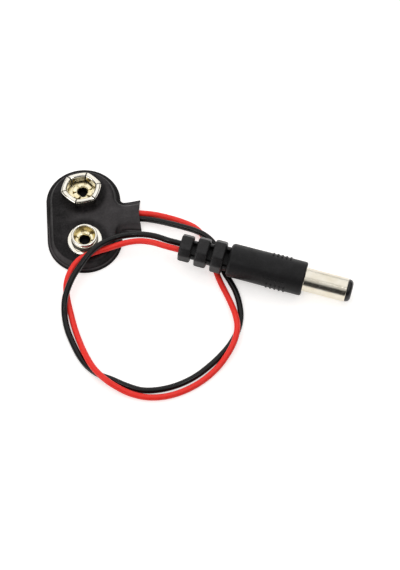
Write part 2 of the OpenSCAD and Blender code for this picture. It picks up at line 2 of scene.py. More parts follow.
# # A battery snap on two leads with a barrel plug
# The part lies on a white table: a soft black pad with two metal contacts, a red and a black lead in one
# loose loop, and a moulded plug. The imported solids give every size and place. This lesson dresses them,
# piece by piece, and sets a camera at the photograph's angle.

# %% Load the frame
import math
import bmesh
import bpy
from mathutils import Euler, Matrix, Vector, noise
from mathutils.geometry import delaunay_2d_cdt


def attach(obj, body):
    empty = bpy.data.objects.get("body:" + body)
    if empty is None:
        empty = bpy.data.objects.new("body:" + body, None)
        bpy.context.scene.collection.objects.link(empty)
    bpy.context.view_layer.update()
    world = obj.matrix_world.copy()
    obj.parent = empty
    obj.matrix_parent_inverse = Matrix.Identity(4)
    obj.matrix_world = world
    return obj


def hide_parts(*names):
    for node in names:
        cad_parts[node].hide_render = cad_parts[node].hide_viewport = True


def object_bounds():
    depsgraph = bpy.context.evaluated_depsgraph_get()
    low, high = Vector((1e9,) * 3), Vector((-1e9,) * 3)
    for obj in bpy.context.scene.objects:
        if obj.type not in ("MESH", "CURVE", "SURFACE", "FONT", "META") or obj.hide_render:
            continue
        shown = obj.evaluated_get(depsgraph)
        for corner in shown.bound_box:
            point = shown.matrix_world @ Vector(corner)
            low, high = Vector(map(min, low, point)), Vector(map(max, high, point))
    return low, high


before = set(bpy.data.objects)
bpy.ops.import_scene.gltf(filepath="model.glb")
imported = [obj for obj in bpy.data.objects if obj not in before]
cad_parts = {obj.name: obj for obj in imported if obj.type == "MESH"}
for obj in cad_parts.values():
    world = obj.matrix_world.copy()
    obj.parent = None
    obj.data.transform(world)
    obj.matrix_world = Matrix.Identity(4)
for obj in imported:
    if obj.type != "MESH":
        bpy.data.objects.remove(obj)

cad_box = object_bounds()
mm = 0.001
scene = bpy.context.scene
scene.view_settings.view_transform = "Standard"
box_mm = [round(v / mm, 1) for corner in cad_box for v in corner]
print("frame:", len(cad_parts), "nodes, box", box_mm, "mm")

# %% [markdown]
# ## The camera
# The photograph was taken from well above with a long lens, so parallel edges hardly converge. A camera
# could be turned by hand until it fits, but here its place was worked out from the two contacts, which
# stand 12.7 mm apart, and is simply written down: it looks 62 degrees down, and 4 degrees to the right of
# +Y.

# %% Camera
camera_data = bpy.data.cameras.new("photo_camera")
camera_data.lens = 111.16
camera_data.sensor_width = 36
camera_data.clip_start = 0.01
camera = bpy.data.objects.new("photo_camera", camera_data)
scene.collection.objects.link(camera)
aim = Vector((25.56, -18.44, 0)) * mm
camera.location = Vector((12.46, -205.77, 353.18)) * mm
camera.rotation_euler = (aim - camera.location).to_track_quat("-Z", "Y").to_euler()
scene.camera = camera
print("camera", [round(v, 3) for v in camera.location])

# %% [markdown]
# ## The table
# The table is white in the photograph, and only the places right beside the object are shaded. Turning up
# the lamps would bleach the object, so the table's material adds light of its own that only the camera and
# mirrors can see. The table lies a hair below the part, so that no two faces share a plane.

# %% Links and rays
def wire(tree, source, target):
    """Links two sockets, each given as (node, socket)."""
    tree.links.new(source[0].outputs[source[1]], target[0].inputs[target[1]])


def seen_directly(tree):
    """A value of 1 for rays from the camera, and for what mirrors and glass show."""
    path = tree.nodes.new("ShaderNodeLightPath")
    total = None
    for socket in ("Is Camera Ray", "Is Glossy Ray", "Is Transmission Ray"):
        if total is None:
            total = (path, socket)
            continue
        both = tree.nodes.new("ShaderNodeMath")
        both.operation = "MAXIMUM"
        wire(tree, total, (both, 0))
        wire(tree, (path, socket), (both, 1))
        total = (both, 0)
    return total


# %% Table
def table_material():
    """White paper that also gives off light for the camera and for mirrors."""
    material = bpy.data.materials.new("white_table")
    material.use_nodes = True
    tree = material.node_tree
    tree.nodes.clear()
    out = tree.nodes.new("ShaderNodeOutputMaterial")
    both = tree.nodes.new("ShaderNodeAddShader")
    paper = tree.nodes.new("ShaderNodeBsdfDiffuse")
    paper.inputs["Color"].default_value = (0.80, 0.79, 0.785, 1)
    glow = tree.nodes.new("ShaderNodeEmission")
    glow.inputs["Color"].default_value = (1, 0.98, 0.96, 1)
    lift = tree.nodes.new("ShaderNodeMath")
    lift.operation = "MULTIPLY"
    lift.inputs[1].default_value = 0.56
    wire(tree, seen_directly(tree), (lift, 0))
    wire(tree, (lift, 0), (glow, "Strength"))
    wire(tree, (paper, 0), (both, 0))
    wire(tree, (glow, 0), (both, 1))
    wire(tree, (both, 0), (out, "Surface"))
    return material


table_mesh = bpy.data.meshes.new("table")
table_mesh.from_pydata([(-3, -3, 0), (3, -3, 0), (3, 3, 0), (-3, 3, 0)], [], [(0, 1, 2, 3)])
table = bpy.data.objects.new("table", table_mesh)
table.location.z = -0.02 * mm
table_mesh.materials.append(table_material())
scene.collection.objects.link(table)
print("table:", len(table_mesh.materials[0].node_tree.nodes), "shader nodes")

# %% [markdown]
# ## Lamps
# Wide panels hang overhead and far behind the object: they give soft, close shadows and broad reflections,
# and the dark room below them, on our side, gives the metal its dark bands. One picture of a studio all
# round could do the same, but panels are easier to move. A card on the left lights the front walls, and two
# small lamps beside the camera draw the thin bright lines along the leads.

# %% Lamps and surroundings
def area_lamp(name, place, look_at, size, watts):
    """A white rectangular lamp that faces one spot."""
    data = bpy.data.lights.new(name, "AREA")
    data.shape = "RECTANGLE"
    data.size, data.size_y = size
    data.energy = watts
    lamp = bpy.data.objects.new(name, data)
    lamp.location = place
    lamp.rotation_euler = (Vector(look_at) - Vector(place)).to_track_quat("-Z", "Y").to_euler()
    scene.collection.objects.link(lamp)


object_spot = (0.025, -0.02, 0)
area_lamp("back_panel", (0.025, 1.15, 0.70), (0.025, 1.15, 0), (2.0, 2.5), 18.0)
area_lamp("front_panel", (0.025, -0.375, 0.70), (0.025, -0.375, 0), (2.0, 0.55), 2.1)
area_lamp("far_panel", (0.025, 2.42, 0.35), (0.025, 0, 0.35), (3.0, 0.7), 6.6)
area_lamp("side_card", (-0.55, -0.42, 0.12), (0.01, -0.01, 0), (0.5, 0.24), 1.2)
area_lamp("glint_right", (0.26, -0.26, 0.58), object_spot, (0.12, 0.12), 0.3)
area_lamp("glint_left", (-0.255, -0.27, 0.565), object_spot, (0.12, 0.12), 0.3)

world = bpy.data.worlds.new("studio")
scene.world = world
world.use_nodes = True
sky = world.node_tree
sky.nodes.clear()
sky_out = sky.nodes.new("ShaderNodeOutputWorld")
sky_light = sky.nodes.new("ShaderNodeBackground")
sky_light.inputs["Color"].default_value = (1, 1, 1, 1)
sky_light.inputs["Strength"].default_value = 0.03
wire(sky, (sky_light, 0), (sky_out, "Surface"))

# %% [markdown]
# ## The grain of plastic
# Moulded vinyl is never one flat colour: it has a fine grain, and broad patches that are a touch paler or
# shinier where it has been handled. Both could be painted, but noise needs no unwrapping, so one node group
# serves every plastic here, and each material gives it its own colours and grain size.

# %% Helpers for node groups
def new_group(name, inputs, outputs):
    """An empty shader group with named float, colour or vector sockets."""
    group = bpy.data.node_groups.new(name, "ShaderNodeTree")
    for label, kind, value in inputs:
        socket = group.interface.new_socket(label, in_out="INPUT", socket_type=kind)
        socket.default_value = value
    for label, kind in outputs:
        group.interface.new_socket(label, in_out="OUTPUT", socket_type=kind)
    return group, group.nodes.new("NodeGroupInput"), group.nodes.new("NodeGroupOutput")


def noise_node(tree, coords, scale, detail, roughness):
    """Noise on the given coordinates, with its scale from a socket."""
    tex = tree.nodes.new("ShaderNodeTexNoise")
    tex.inputs["Detail"].default_value = detail
    tex.inputs["Roughness"].default_value = roughness
    wire(tree, coords, (tex, "Vector"))
    wire(tree, scale, (tex, "Scale"))
    return tex


def spread(tree, source, low, high, to_low, to_high):
    """Maps a value from one range to another; the target ends may be sockets."""
    rng = tree.nodes.new("ShaderNodeMapRange")
    rng.inputs["From Min"].default_value = low
    rng.inputs["From Max"].default_value = high
    wire(tree, source, (rng, "Value"))
    for label, end in (("To Min", to_low), ("To Max", to_high)):
        if isinstance(end, tuple):
            wire(tree, end, (rng, label))
        else:
            rng.inputs[label].default_value = end
    return rng


def mix_colour(tree, mask, dark, light):
    """Mixes two colours by a mask; a Mix node takes its colours at sockets 6 and 7."""
    mix = tree.nodes.new("ShaderNodeMix")
    mix.data_type = "RGBA"
    wire(tree, mask, (mix, "Factor"))
    wire(tree, dark, (mix, 6))
    wire(tree, light, (mix, 7))
    return (mix, 2)


print("node groups so far:", len(bpy.data.node_groups))

# %% Grain of moulded plastic
COLOUR, NUMBER = "NodeSocketColor", "NodeSocketFloat"
grain_group, grain_in, grain_out = new_group(
    "moulded_grain",
    [
        ("Base", COLOUR, (0.03, 0.03, 0.03, 1)), ("Pale", COLOUR, (0.06, 0.06, 0.06, 1)),
        ("Grain Scale", NUMBER, 5000.0), ("Patch Scale", NUMBER, 260.0),
        ("Matt", NUMBER, 0.6), ("Polished", NUMBER, 0.45),
        ("Mottle", NUMBER, 1.0), ("Painted Light", NUMBER, 0.0),
    ],
    [("Colour", COLOUR), ("Roughness", NUMBER), ("Height", NUMBER)],
)
grain_coords = (grain_group.nodes.new("ShaderNodeTexCoord"), "Object")
fine = noise_node(grain_group, grain_coords, (grain_in, "Grain Scale"), 2, 0.6)
patches = noise_node(grain_group, grain_coords, (grain_in, "Patch Scale"), 4, 0.62)
fine_mask = spread(grain_group, (fine, "Fac"), 0.35, 0.72, 0.0, 0.45)
patch_mask = spread(grain_group, (patches, "Fac"), 0.42, 0.74, 0.0, 0.55)
both_masks = grain_group.nodes.new("ShaderNodeMath")
both_masks.operation = "ADD"
wire(grain_group, (fine_mask, 0), (both_masks, 0))
wire(grain_group, (patch_mask, 0), (both_masks, 1))
# The Painted Light input raises the mask, so the pale colour is mixed in where light is painted on the mesh.
all_masks = grain_group.nodes.new("ShaderNodeMath")
all_masks.operation = "MULTIPLY_ADD"
wire(grain_group, (both_masks, 0), (all_masks, 0))
wire(grain_group, (grain_in, "Mottle"), (all_masks, 1))
wire(grain_group, (grain_in, "Painted Light"), (all_masks, 2))
grain_colour = mix_colour(grain_group, (all_masks, 0), (grain_in, "Base"), (grain_in, "Pale"))
grain_rough = spread(grain_group, (patches, "Fac"), 0.4, 0.7, (grain_in, "Matt"), (grain_in, "Polished"))
wire(grain_group, grain_colour, (grain_out, "Colour"))
wire(grain_group, (grain_rough, 0), (grain_out, "Roughness"))
wire(grain_group, (fine, "Fac"), (grain_out, "Height"))
print("node group:", grain_group.name, len(grain_group.nodes), "nodes")

# %% [markdown]
# ## The look of plate
# Thin plate is bright where it is whole, warmer where the metal below shows through, and fine scuffs make
# it dull in places. A second group does this with two noises, a broad one for the tarnish and a fine one
# for the scuffs.

# %% Plated metal
plate_group, plate_in, plate_out = new_group(
    "plated_metal",
    [
        ("Bright", COLOUR, (0.8, 0.78, 0.72, 1)), ("Warm", COLOUR, (0.7, 0.6, 0.4, 1)),
        ("Tarnish Scale", NUMBER, 300.0), ("Streak Scale", NUMBER, 4000.0),
        ("Shiny", NUMBER, 0.14), ("Dull", NUMBER, 0.34),
    ],
    [("Colour", COLOUR), ("Roughness", NUMBER), ("Height", NUMBER)],
)
plate_coords = (plate_group.nodes.new("ShaderNodeTexCoord"), "Object")
tarnish = noise_node(plate_group, plate_coords, (plate_in, "Tarnish Scale"), 5, 0.6)
scuffs = noise_node(plate_group, plate_coords, (plate_in, "Streak Scale"), 3, 0.55)
warm_mask = spread(plate_group, (tarnish, "Fac"), 0.38, 0.72, 0.0, 1.0)
plate_colour = mix_colour(plate_group, (warm_mask, 0), (plate_in, "Bright"), (plate_in, "Warm"))
plate_rough = spread(plate_group, (scuffs, "Fac"), 0.35, 0.75, (plate_in, "Shiny"), (plate_in, "Dull"))
wire(plate_group, plate_colour, (plate_out, "Colour"))
wire(plate_group, (plate_rough, 0), (plate_out, "Roughness"))
wire(plate_group, (scuffs, "Fac"), (plate_out, "Height"))
print("node group:", plate_group.name, len(plate_group.nodes), "nodes")

# %% [markdown]
# ## Plastics
# The pad is soft vinyl, and the leads, ribs, plug and nose are harder plastics with their own shine; the
# ribs take a paler copy of the plug's plastic, as painted light. Each could have a tree of its own, but one
# short function that hooks a group to a shader keeps them alike, and leaves only the numbers that differ.
# The vinyl also reads from the mesh where light is painted on it.

# %% A material from a group
SHADER_SOCKETS = {"metallic": "Metallic", "specular": "Specular IOR Level"}


def dressed(name, group, values, bump, **shader):
    """A material whose colour, roughness and bump come from a group; fixed values sit on its shader."""
    material = bpy.data.materials.new(name)
    material.use_nodes = True
    tree = material.node_tree
    surface = tree.nodes["Principled BSDF"]
    effect = tree.nodes.new("ShaderNodeGroup")
    effect.node_tree = group
    for label, value in values.items():
        effect.inputs[label].default_value = value
    wire(tree, (effect, "Colour"), (surface, "Base Color"))
    wire(tree, (effect, "Roughness"), (surface, "Roughness"))
    relief = tree.nodes.new("ShaderNodeBump")
    relief.inputs["Strength"].default_value = bump[0]
    relief.inputs["Distance"].default_value = bump[1] * mm
    wire(tree, (effect, "Height"), (relief, "Height"))
    wire(tree, (relief, "Normal"), (surface, "Normal"))
    for label, value in shader.items():
        surface.inputs[SHADER_SOCKETS[label]].default_value = value
    return material


def rgb(r, g, b):
    return (r, g, b, 1)


print("shader values that a finish may set:", list(SHADER_SOCKETS))

# %% Vinyl of the pad
vinyl = dressed(
    "black_vinyl", grain_group,
    {"Base": rgb(0.0026, 0.0020, 0.0022), "Pale": rgb(0.078, 0.071, 0.073), "Grain Scale": 2400.0,
     "Patch Scale": 330.0, "Matt": 0.46, "Polished": 0.34, "Mottle": 0.36},
    (0.5, 0.05), specular=0.13,
)
# The vinyl turns paler where the mesh's attribute paints light on it.
painted_light_node = vinyl.node_tree.nodes.new("ShaderNodeAttribute")
painted_light_node.attribute_name = "painted_light"
wire(vinyl.node_tree, (painted_light_node, "Fac"), (vinyl.node_tree.nodes["Group"], "Painted Light"))
print("the vinyl reads the attribute", painted_light_node.attribute_name)

# %% Plug, leads and nose
plug_pvc = dressed(
    "plug_pvc", grain_group,
    {"Base": rgb(0.0070, 0.0068, 0.0072), "Pale": rgb(0.017, 0.0166, 0.0174), "Grain Scale": 3200.0,
     "Patch Scale": 420.0, "Matt": 0.48, "Polished": 0.36},
    (0.40, 0.05), specular=0.18,
)
# Painted light: the ribs take a paler, glossier copy of the plug's plastic, for the light on their tops.
rib_pvc_painted_light = dressed(
    "rib_pvc_painted_light", grain_group,
    {"Base": rgb(0.0085, 0.0080, 0.0083), "Pale": rgb(0.028, 0.0266, 0.0274), "Grain Scale": 3200.0,
     "Patch Scale": 420.0, "Matt": 0.44, "Polished": 0.32},
    (0.30, 0.05), specular=0.25,
)
red_pvc = dressed(
    "red_insulation", grain_group,
    {"Base": rgb(0.95, 0.026, 0.017), "Pale": rgb(0.97, 0.048, 0.033), "Grain Scale": 3800.0,
     "Patch Scale": 500.0, "Matt": 0.38, "Polished": 0.28},
    (0.05, 0.02), specular=0.3,
)
black_pvc = dressed(
    "black_insulation", grain_group,
    {"Base": rgb(0.0035, 0.0029, 0.0030), "Pale": rgb(0.0065, 0.0058, 0.0058), "Grain Scale": 3800.0,
     "Patch Scale": 500.0, "Matt": 0.24, "Polished": 0.18},
    (0.03, 0.01), specular=0.27,
)
nose_plastic = dressed(
    "nose_plastic", grain_group,
    {"Base": rgb(0.005, 0.005, 0.005), "Pale": rgb(0.011, 0.011, 0.011), "Grain Scale": 7000.0,
     "Patch Scale": 600.0, "Matt": 0.34, "Polished": 0.24},
    (0.08, 0.02), specular=0.4,
)
print("materials so far:", len(bpy.data.materials))

# %% Flux, painted shade and hidden plastics
# The dark flux is real on the solder joints, and also serves as painted shade in the crown's slits and deep
# in the eyelet holes.
flux_and_shade = dressed(
    "burnt_flux_and_painted_shade", grain_group,
    {"Base": rgb(0.004, 0.0035, 0.003), "Pale": rgb(0.009, 0.008, 0.006), "Grain Scale": 3000.0,
     "Patch Scale": 800.0, "Matt": 0.7, "Polished": 0.5},
    (0.3, 0.04), specular=0.2,
)
board_fibre = dressed(
    "board_fibre", grain_group,
    {"Base": rgb(0.26, 0.16, 0.08), "Pale": rgb(0.38, 0.25, 0.13), "Grain Scale": 2600.0,
     "Patch Scale": 300.0, "Matt": 0.85, "Polished": 0.7},
    (0.3, 0.06),
)
inner_plastic = dressed(
    "inner_plastic", grain_group,
    {"Base": rgb(0.66, 0.65, 0.60), "Pale": rgb(0.74, 0.73, 0.69), "Grain Scale": 3000.0,
     "Patch Scale": 300.0, "Matt": 0.55, "Polished": 0.45},
    (0.15, 0.03),
)
print("materials so far:", len(bpy.data.materials))

# %% [markdown]
# ## Metals
# The contacts and the barrel are nickel plate, the eyelets a thinner plate with brass showing through, and
# the hidden ends are copper, solder and brass. A metal shows little but what it mirrors, tinted by its own
# colour, so its roughness counts as much as its colour. On the same piece, the warmer plating in the stud's
# cup gets a finish of its own, and so do a dark plate, painted shade at the stud's neck, and a paler, nearly
# non-metal plate, painted light on the crown's inner walls.

# %% Plated and bare metals
nickel = dressed(
    "contact_nickel", plate_group,
    {"Bright": rgb(0.87, 0.84, 0.77), "Warm": rgb(0.82, 0.77, 0.64), "Tarnish Scale": 420.0,
     "Streak Scale": 1500.0, "Shiny": 0.11, "Dull": 0.17},
    (0.01, 0.005), metallic=1.0,
)
eyelet_plate = dressed(
    "eyelet_plate", plate_group,
    {"Bright": rgb(0.93, 0.86, 0.63), "Warm": rgb(0.80, 0.68, 0.38), "Tarnish Scale": 700.0,
     "Streak Scale": 2500.0, "Shiny": 0.22, "Dull": 0.36},
    (0.10, 0.02), metallic=1.0,
)
# Painted light: a paler, nearly non-metal copy of the plating for the crown's inner walls, so that they read
# lit.
petal_inside_painted_light = dressed(
    "petal_inside_painted_light", plate_group,
    {"Bright": rgb(0.95, 0.91, 0.80), "Warm": rgb(0.86, 0.79, 0.60), "Tarnish Scale": 700.0,
     "Streak Scale": 2500.0, "Shiny": 0.34, "Dull": 0.48},
    (0.06, 0.02), metallic=0.1,
)
cup_plate = dressed(
    "cup_plate", plate_group,
    {"Bright": rgb(0.86, 0.77, 0.50), "Warm": rgb(0.70, 0.58, 0.30), "Tarnish Scale": 400.0,
     "Streak Scale": 2500.0, "Shiny": 0.30, "Dull": 0.42},
    (0.02, 0.01), metallic=1.0,
)
# Painted shade: a dark plate for the stud's neck and the inner edge of its flange, under the cup.
painted_shade_plate = dressed(
    "painted_shade_plate", plate_group,
    {"Bright": rgb(0.16, 0.15, 0.13), "Warm": rgb(0.08, 0.07, 0.05), "Tarnish Scale": 900.0,
     "Streak Scale": 2500.0, "Shiny": 0.40, "Dull": 0.55},
    (0.06, 0.02), metallic=1.0,
)
barrel_nickel = dressed(
    "barrel_nickel", plate_group,
    {"Bright": rgb(0.77, 0.73, 0.64), "Warm": rgb(0.69, 0.63, 0.50), "Tarnish Scale": 260.0,
     "Streak Scale": 1800.0, "Shiny": 0.20, "Dull": 0.26},
    (0.01, 0.005), metallic=1.0,
)
solder_metal = dressed(
    "solder", plate_group,
    {"Bright": rgb(0.60, 0.61, 0.62), "Warm": rgb(0.46, 0.46, 0.45), "Tarnish Scale": 900.0,
     "Streak Scale": 4000.0, "Shiny": 0.28, "Dull": 0.5},
    (0.3, 0.04), metallic=1.0,
)
copper = dressed(
    "copper_strands", plate_group,
    {"Bright": rgb(0.80, 0.44, 0.26), "Warm": rgb(0.55, 0.26, 0.13), "Tarnish Scale": 800.0,
     "Streak Scale": 5000.0, "Shiny": 0.25, "Dull": 0.45},
    (0.3, 0.04), metallic=1.0,
)
terminal_brass = dressed(
    "terminal_brass", plate_group,
    {"Bright": rgb(0.76, 0.66, 0.40), "Warm": rgb(0.62, 0.48, 0.22), "Tarnish Scale": 500.0,
     "Streak Scale": 3500.0, "Shiny": 0.2, "Dull": 0.4},
    (0.15, 0.03), metallic=1.0,
)
print("materials:", len(bpy.data.materials))

# %% [markdown]
# ## The hidden solids
# Inside the pad and the plug sit the board, the solder joints and the copper ends. Nobody sees them until
# the part is cut open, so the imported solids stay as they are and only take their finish.

# %% Finish for the inner nodes
inner_finish = {
    # The solder joints take the dark flux, real residue that below the eyelet holes also acts as painted
    # shade.
    "contact_board": board_fibre, "socket_solder": flux_and_shade, "stud_solder": flux_and_shade,
    "red_strand_snap": copper, "black_strand_snap": copper, "plug_inner_mould": inner_plastic,
    "centre_contact": terminal_brass, "sleeve_terminal": terminal_brass, "plug_washer": nose_plastic,
    "red_strand_plug": copper, "black_strand_plug": copper, "centre_solder": solder_metal,
    "sleeve_solder": solder_metal,
}
for name, material in inner_finish.items():
    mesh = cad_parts[name].data
    mesh.materials.clear()
    mesh.materials.append(material)
print("inner nodes finished:", len(inner_finish))

# %% [markdown]
# ## The leads
# Each lead is a round wire of fixed length that lies in the loop the photograph shows. A few dozen points
# give its route, the same ones that the solids follow. A curve through them, rounded by a bevel, is the
# natural way to make a wire in Blender: the line stays editable, and the thickness is one number.

# %% Place of the plug, in millimetres
plug_yaw, plug_pitch = math.radians(-19), math.radians(3)
plug_x, plug_y = 21.6, -11.2
plug_face, plug_r, plug_edge_r = 29.0, 3.9, 0.8
plug_z = (
    (plug_face - plug_edge_r) * math.sin(plug_pitch)
    + (plug_r - plug_edge_r) * math.cos(plug_pitch) + plug_edge_r
)
plug_turn = Euler((0, plug_pitch, plug_yaw)).to_matrix().to_4x4()
plug_frame = Matrix.Translation((plug_x, plug_y, plug_z)) @ plug_turn
print("plug's rear end:", [round(v, 2) for v in plug_frame.translation])

# %% Routes of the two leads, in millimetres
lead_d = 1.4
plug_stations = (-3, 0, 3.8, 7.6, 11.4, 14)
red_run = [
    (13, 0.7, 1.15), (16.5, 0, 1.2), (19.98, -0.95, 0.8), (22.9, -2.2, 0.7), (25.4, -3.78, 0.7),
    (27.05, -6, 0.7), (28.06, -8.78, 0.7), (28.73, -12.03, 0.7), (29.32, -15.08, 0.7),
    (30.19, -18.35, 0.7), (31.37, -21.64, 0.7), (32.34, -24.92, 1.2), (32.93, -27.97, 1.9),
    (33.03, -30.88, 2.2), (32.21, -33.93, 2.1), (30.5, -36.92, 1.7), (27.99, -39.85, 1),
    (24.69, -42.53, 0.7), (20.74, -44.66, 0.7), (16.44, -45.86, 0.7), (12.23, -45.86, 0.7),
    (8.5, -44.8, 0.9), (5.4, -43.18, 1.5), (2.83, -41.3, 2.2), (0.7, -38.74, 2.3), (-0.87, -35.43, 1.8),
    (-2.12, -31.73, 1), (-3.16, -28.05, 0.8), (-3.91, -24.35, 0.84), (-4.55, -20.67, 1.38),
    (-4.64, -17.62, 2.32), (-3.65, -14.85, 3.16), (-1.97, -12.43, 3.5), (0.24, -10.88, 3.5),
    (2.71, -10.05, 3.5), (5.97, -9.18, 3.5), (9.23, -8.54, 3.96), (12.42, -8.69, 4.72),
    (15.37, -9.63, 5.38),
]
black_run = [
    (13, -0.8, 1.15), (16.4, -1.75, 1.6), (19.83, -3.1, 2), (22.76, -4.3, 2.2), (25.29, -5.38, 2.2),
    (27.4, -6.73, 2.2), (29.08, -8.45, 1.9), (30.22, -10.73, 1.3), (30.86, -13.18, 0.8),
    (31.27, -15.82, 0.7), (32.4, -18.3, 0.7), (33.5, -21.19, 0.7), (34.08, -24.44, 0.7),
    (34.05, -27.74, 0.7), (33.12, -30.99, 0.7), (31.52, -33.78, 0.7), (29.55, -36.15, 0.7),
    (26.76, -38.76, 0.7), (23.17, -41.42, 0.7), (19.23, -43.25, 0.7), (15.16, -44.16, 0.7),
    (11.15, -44.09, 0.7), (7.64, -42.74, 0.7), (4.55, -41.02, 0.7), (1.74, -39.62, 0.7),
    (-0.62, -37.55, 0.7), (-2.43, -34.72, 0.7), (-3.8, -31.41, 0.7), (-4.87, -28.03, 0.9),
    (-5.33, -24.66, 1.44), (-5.12, -21.63, 2.68), (-4.23, -18.96, 3.42), (-2.94, -16.31, 3.86),
    (-1.16, -13.79, 4.3), (0.58, -11.71, 4.9), (2.51, -9.94, 5.1), (4.84, -8.2, 4.6), (7.53, -6.98, 4.1),
    (10.56, -6.63, 4.16), (13.54, -7.07, 4.72), (16.28, -8.09, 5.28),
]


def lead_route(run, side):
    """The whole route: the end inside the pad, the run outside and the end inside the plug."""
    start = [Vector((6.6, side * 2.25, 1.15)), Vector((9.6, side * 1.2, 1.15))]
    end = [plug_frame @ Vector((x, -side * 0.8, 0)) for x in plug_stations]
    return start + [Vector(p) for p in run] + end


def smooth_line(points, steps):
    """Points on a smooth curve that passes through every given point."""
    padded = [2 * points[0] - points[1], *points, 2 * points[-1] - points[-2]]
    line = []
    for a, b, c, d in zip(padded, padded[1:], padded[2:], padded[3:]):
        for k in range(steps):
            t = k / steps
            bend, twist = 2 * a - 5 * b + 4 * c - d, 3 * b - a - 3 * c + d
            line.append(0.5 * (2 * b + (c - a) * t + bend * t ** 2 + twist * t ** 3))
    return line + [points[-1]]


print("route points:", len(red_run), "red and", len(black_run), "black")

# %% Lead curves
def lead_curve(name, line, material):
    """A curve along the line, as thick as a lead."""
    curve = bpy.data.curves.new(name, "CURVE")
    curve.dimensions = "3D"
    curve.bevel_depth = lead_d / 2 * mm
    curve.bevel_resolution = 5
    curve.use_fill_caps = True
    spline = curve.splines.new("POLY")
    spline.points.add(len(line) - 1)
    for spot, p in zip(spline.points, line):
        spot.co = (*(p * mm), 1)
    spline.use_smooth = True
    curve.materials.append(material)
    lead = bpy.data.objects.new(name, curve)
    scene.collection.objects.link(lead)
    return lead


lead_lines = {
    "red": smooth_line(lead_route(red_run, 1), 6),
    "black": smooth_line(lead_route(black_run, -1), 6),
}
red_wire = lead_curve("red_wire", lead_lines["red"], red_pvc)
black_wire = lead_curve("black_wire", lead_lines["black"], black_pvc)

# %% [markdown]
# ## Building by hand
# Every other piece starts as rows of points. Joining neighbouring rows with four-sided faces is called
# lofting, and a turned piece is only a loft whose rows stand round an axis. Sizes are typed in millimetres,
# and the last step writes them into the mesh in metres, so each object stays at the origin, unturned.

# %% From points to a finished piece
def tidy(mesh, crease):
    """Merges doubled points, turns every face outward and keeps only sharp edges sharp."""
    bm = bmesh.new()
    bm.from_mesh(mesh)
    bmesh.ops.remove_doubles(bm, verts=bm.verts, dist=0.0005 * mm)
    bmesh.ops.recalc_face_normals(bm, faces=bm.faces)
    bm.to_mesh(mesh)
    bm.free()
    mesh.shade_smooth()
    mesh.set_sharp_from_angle(angle=math.radians(crease))


def finished(name, mesh, nodes):
    """Puts a mesh into the scene as a piece that stands for the named solids."""
    obj = bpy.data.objects.new(name, mesh)
    scene.collection.objects.link(obj)
    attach(obj, "root")
    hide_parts(*nodes)
    print(name, len(mesh.polygons), "faces")
    return obj


def mesh_of(name, shape, material, place=Matrix(), crease=35):
    """A mesh from vertices and faces in millimetres, set into its place."""
    mesh = bpy.data.meshes.new(name)
    mesh.from_pydata([(place @ Vector(v)) * mm for v in shape[0]], [], shape[1])
    tidy(mesh, crease)
    mesh.materials.append(material)
    return mesh


print("solids that pieces can stand for:", len(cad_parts))

# %% [markdown]
# ## The pad
# The pad is two sheets of soft vinyl, welded along the rim. The upper one was drawn over the board, so its
# wall leans, its edge is round and its top sinks a little around each contact. Sculpting could do this, but
# lines at fixed distances in from the edge keep it exact: each line gets one height, and the middle is
# filled with triangles.

# %% Edge lines of the pad
pad_r, lobe_y = 8.6, 5.0
fillet_r, fillet_x, fillet_y = 0.9, 9.5, 4.9
tab_root, tab_end, tab_reach = 4.0, 4.45, 13.2
contact_y = 6.35


def tab_half(x):
    """Half the tab's width, which flares towards its end."""
    return tab_root + (tab_end - tab_root) * max(0, (x - fillet_x) / (tab_reach - fillet_x)) ** 1.3


def tab_mouth(y):
    """The tab's end, which stands back in its middle."""
    return tab_reach - 0.45 * max(0, 1 - (y / tab_end) ** 2)


def edge_line(inset):
    """Line at one distance in from the edge, from the tab's upper corner round the pad to its lower one."""
    x_end = tab_mouth(tab_end - inset)
    corner_r, lobe_r = fillet_r + inset, pad_r - inset
    upper = []
    for k in range(14):
        x = x_end + (fillet_x - x_end) * k / 14
        upper.append((x, tab_half(x) - inset))
    for k in range(11):
        a = math.radians(270 - 9 * k)
        upper.append((fillet_x + corner_r * math.cos(a), fillet_y + corner_r * math.sin(a)))
    for k in range(61):
        a = math.radians(3 * k)
        upper.append((lobe_r * math.cos(a), lobe_y + lobe_r * math.sin(a)))
    upper += [(-lobe_r, lobe_y * (1 - k / 12)) for k in range(1, 13)]
    return upper + [(x, -y) for x, y in reversed(upper[:-1])]


def mouth_line(inset, steps=12):
    """Points across the tab's mouth, from below to above, without its two corners."""
    half = tab_end - inset
    ys = [-half + 2 * half * k / steps for k in range(1, steps)]
    return [(tab_mouth(y), y) for y in ys]


print("pad's edge:", len(edge_line(0)) + len(mouth_line(0)), "points")

# %% Height of the upper sheet
def ease(low, high, value):
    """0 below low, 1 above high, and a soft rise between."""
    t = min(max((value - low) / (high - low), 0), 1)
    return t * t * (3 - 2 * t)


wall_steps = [
    (0, 0.72), (0.05, 0.78), (0.13, 0.8), (0.48, 0.8), (0.6, 0.83), (0.7, 0.93), (0.8, 1.1), (1.0, 1.46),
    (1.2, 1.84), (1.36, 2.13), (1.46, 2.26), (1.58, 2.34), (1.72, 2.385), (1.9, 2.4), (2.1, 2.4),
]


def wall_height(inset):
    """Height of the wall at any distance in from the edge."""
    for (a, low), (b, high) in zip(wall_steps, wall_steps[1:]):
        if inset <= b:
            return low + (high - low) * max(0, inset - a) / (b - a)
    return wall_steps[-1][1]


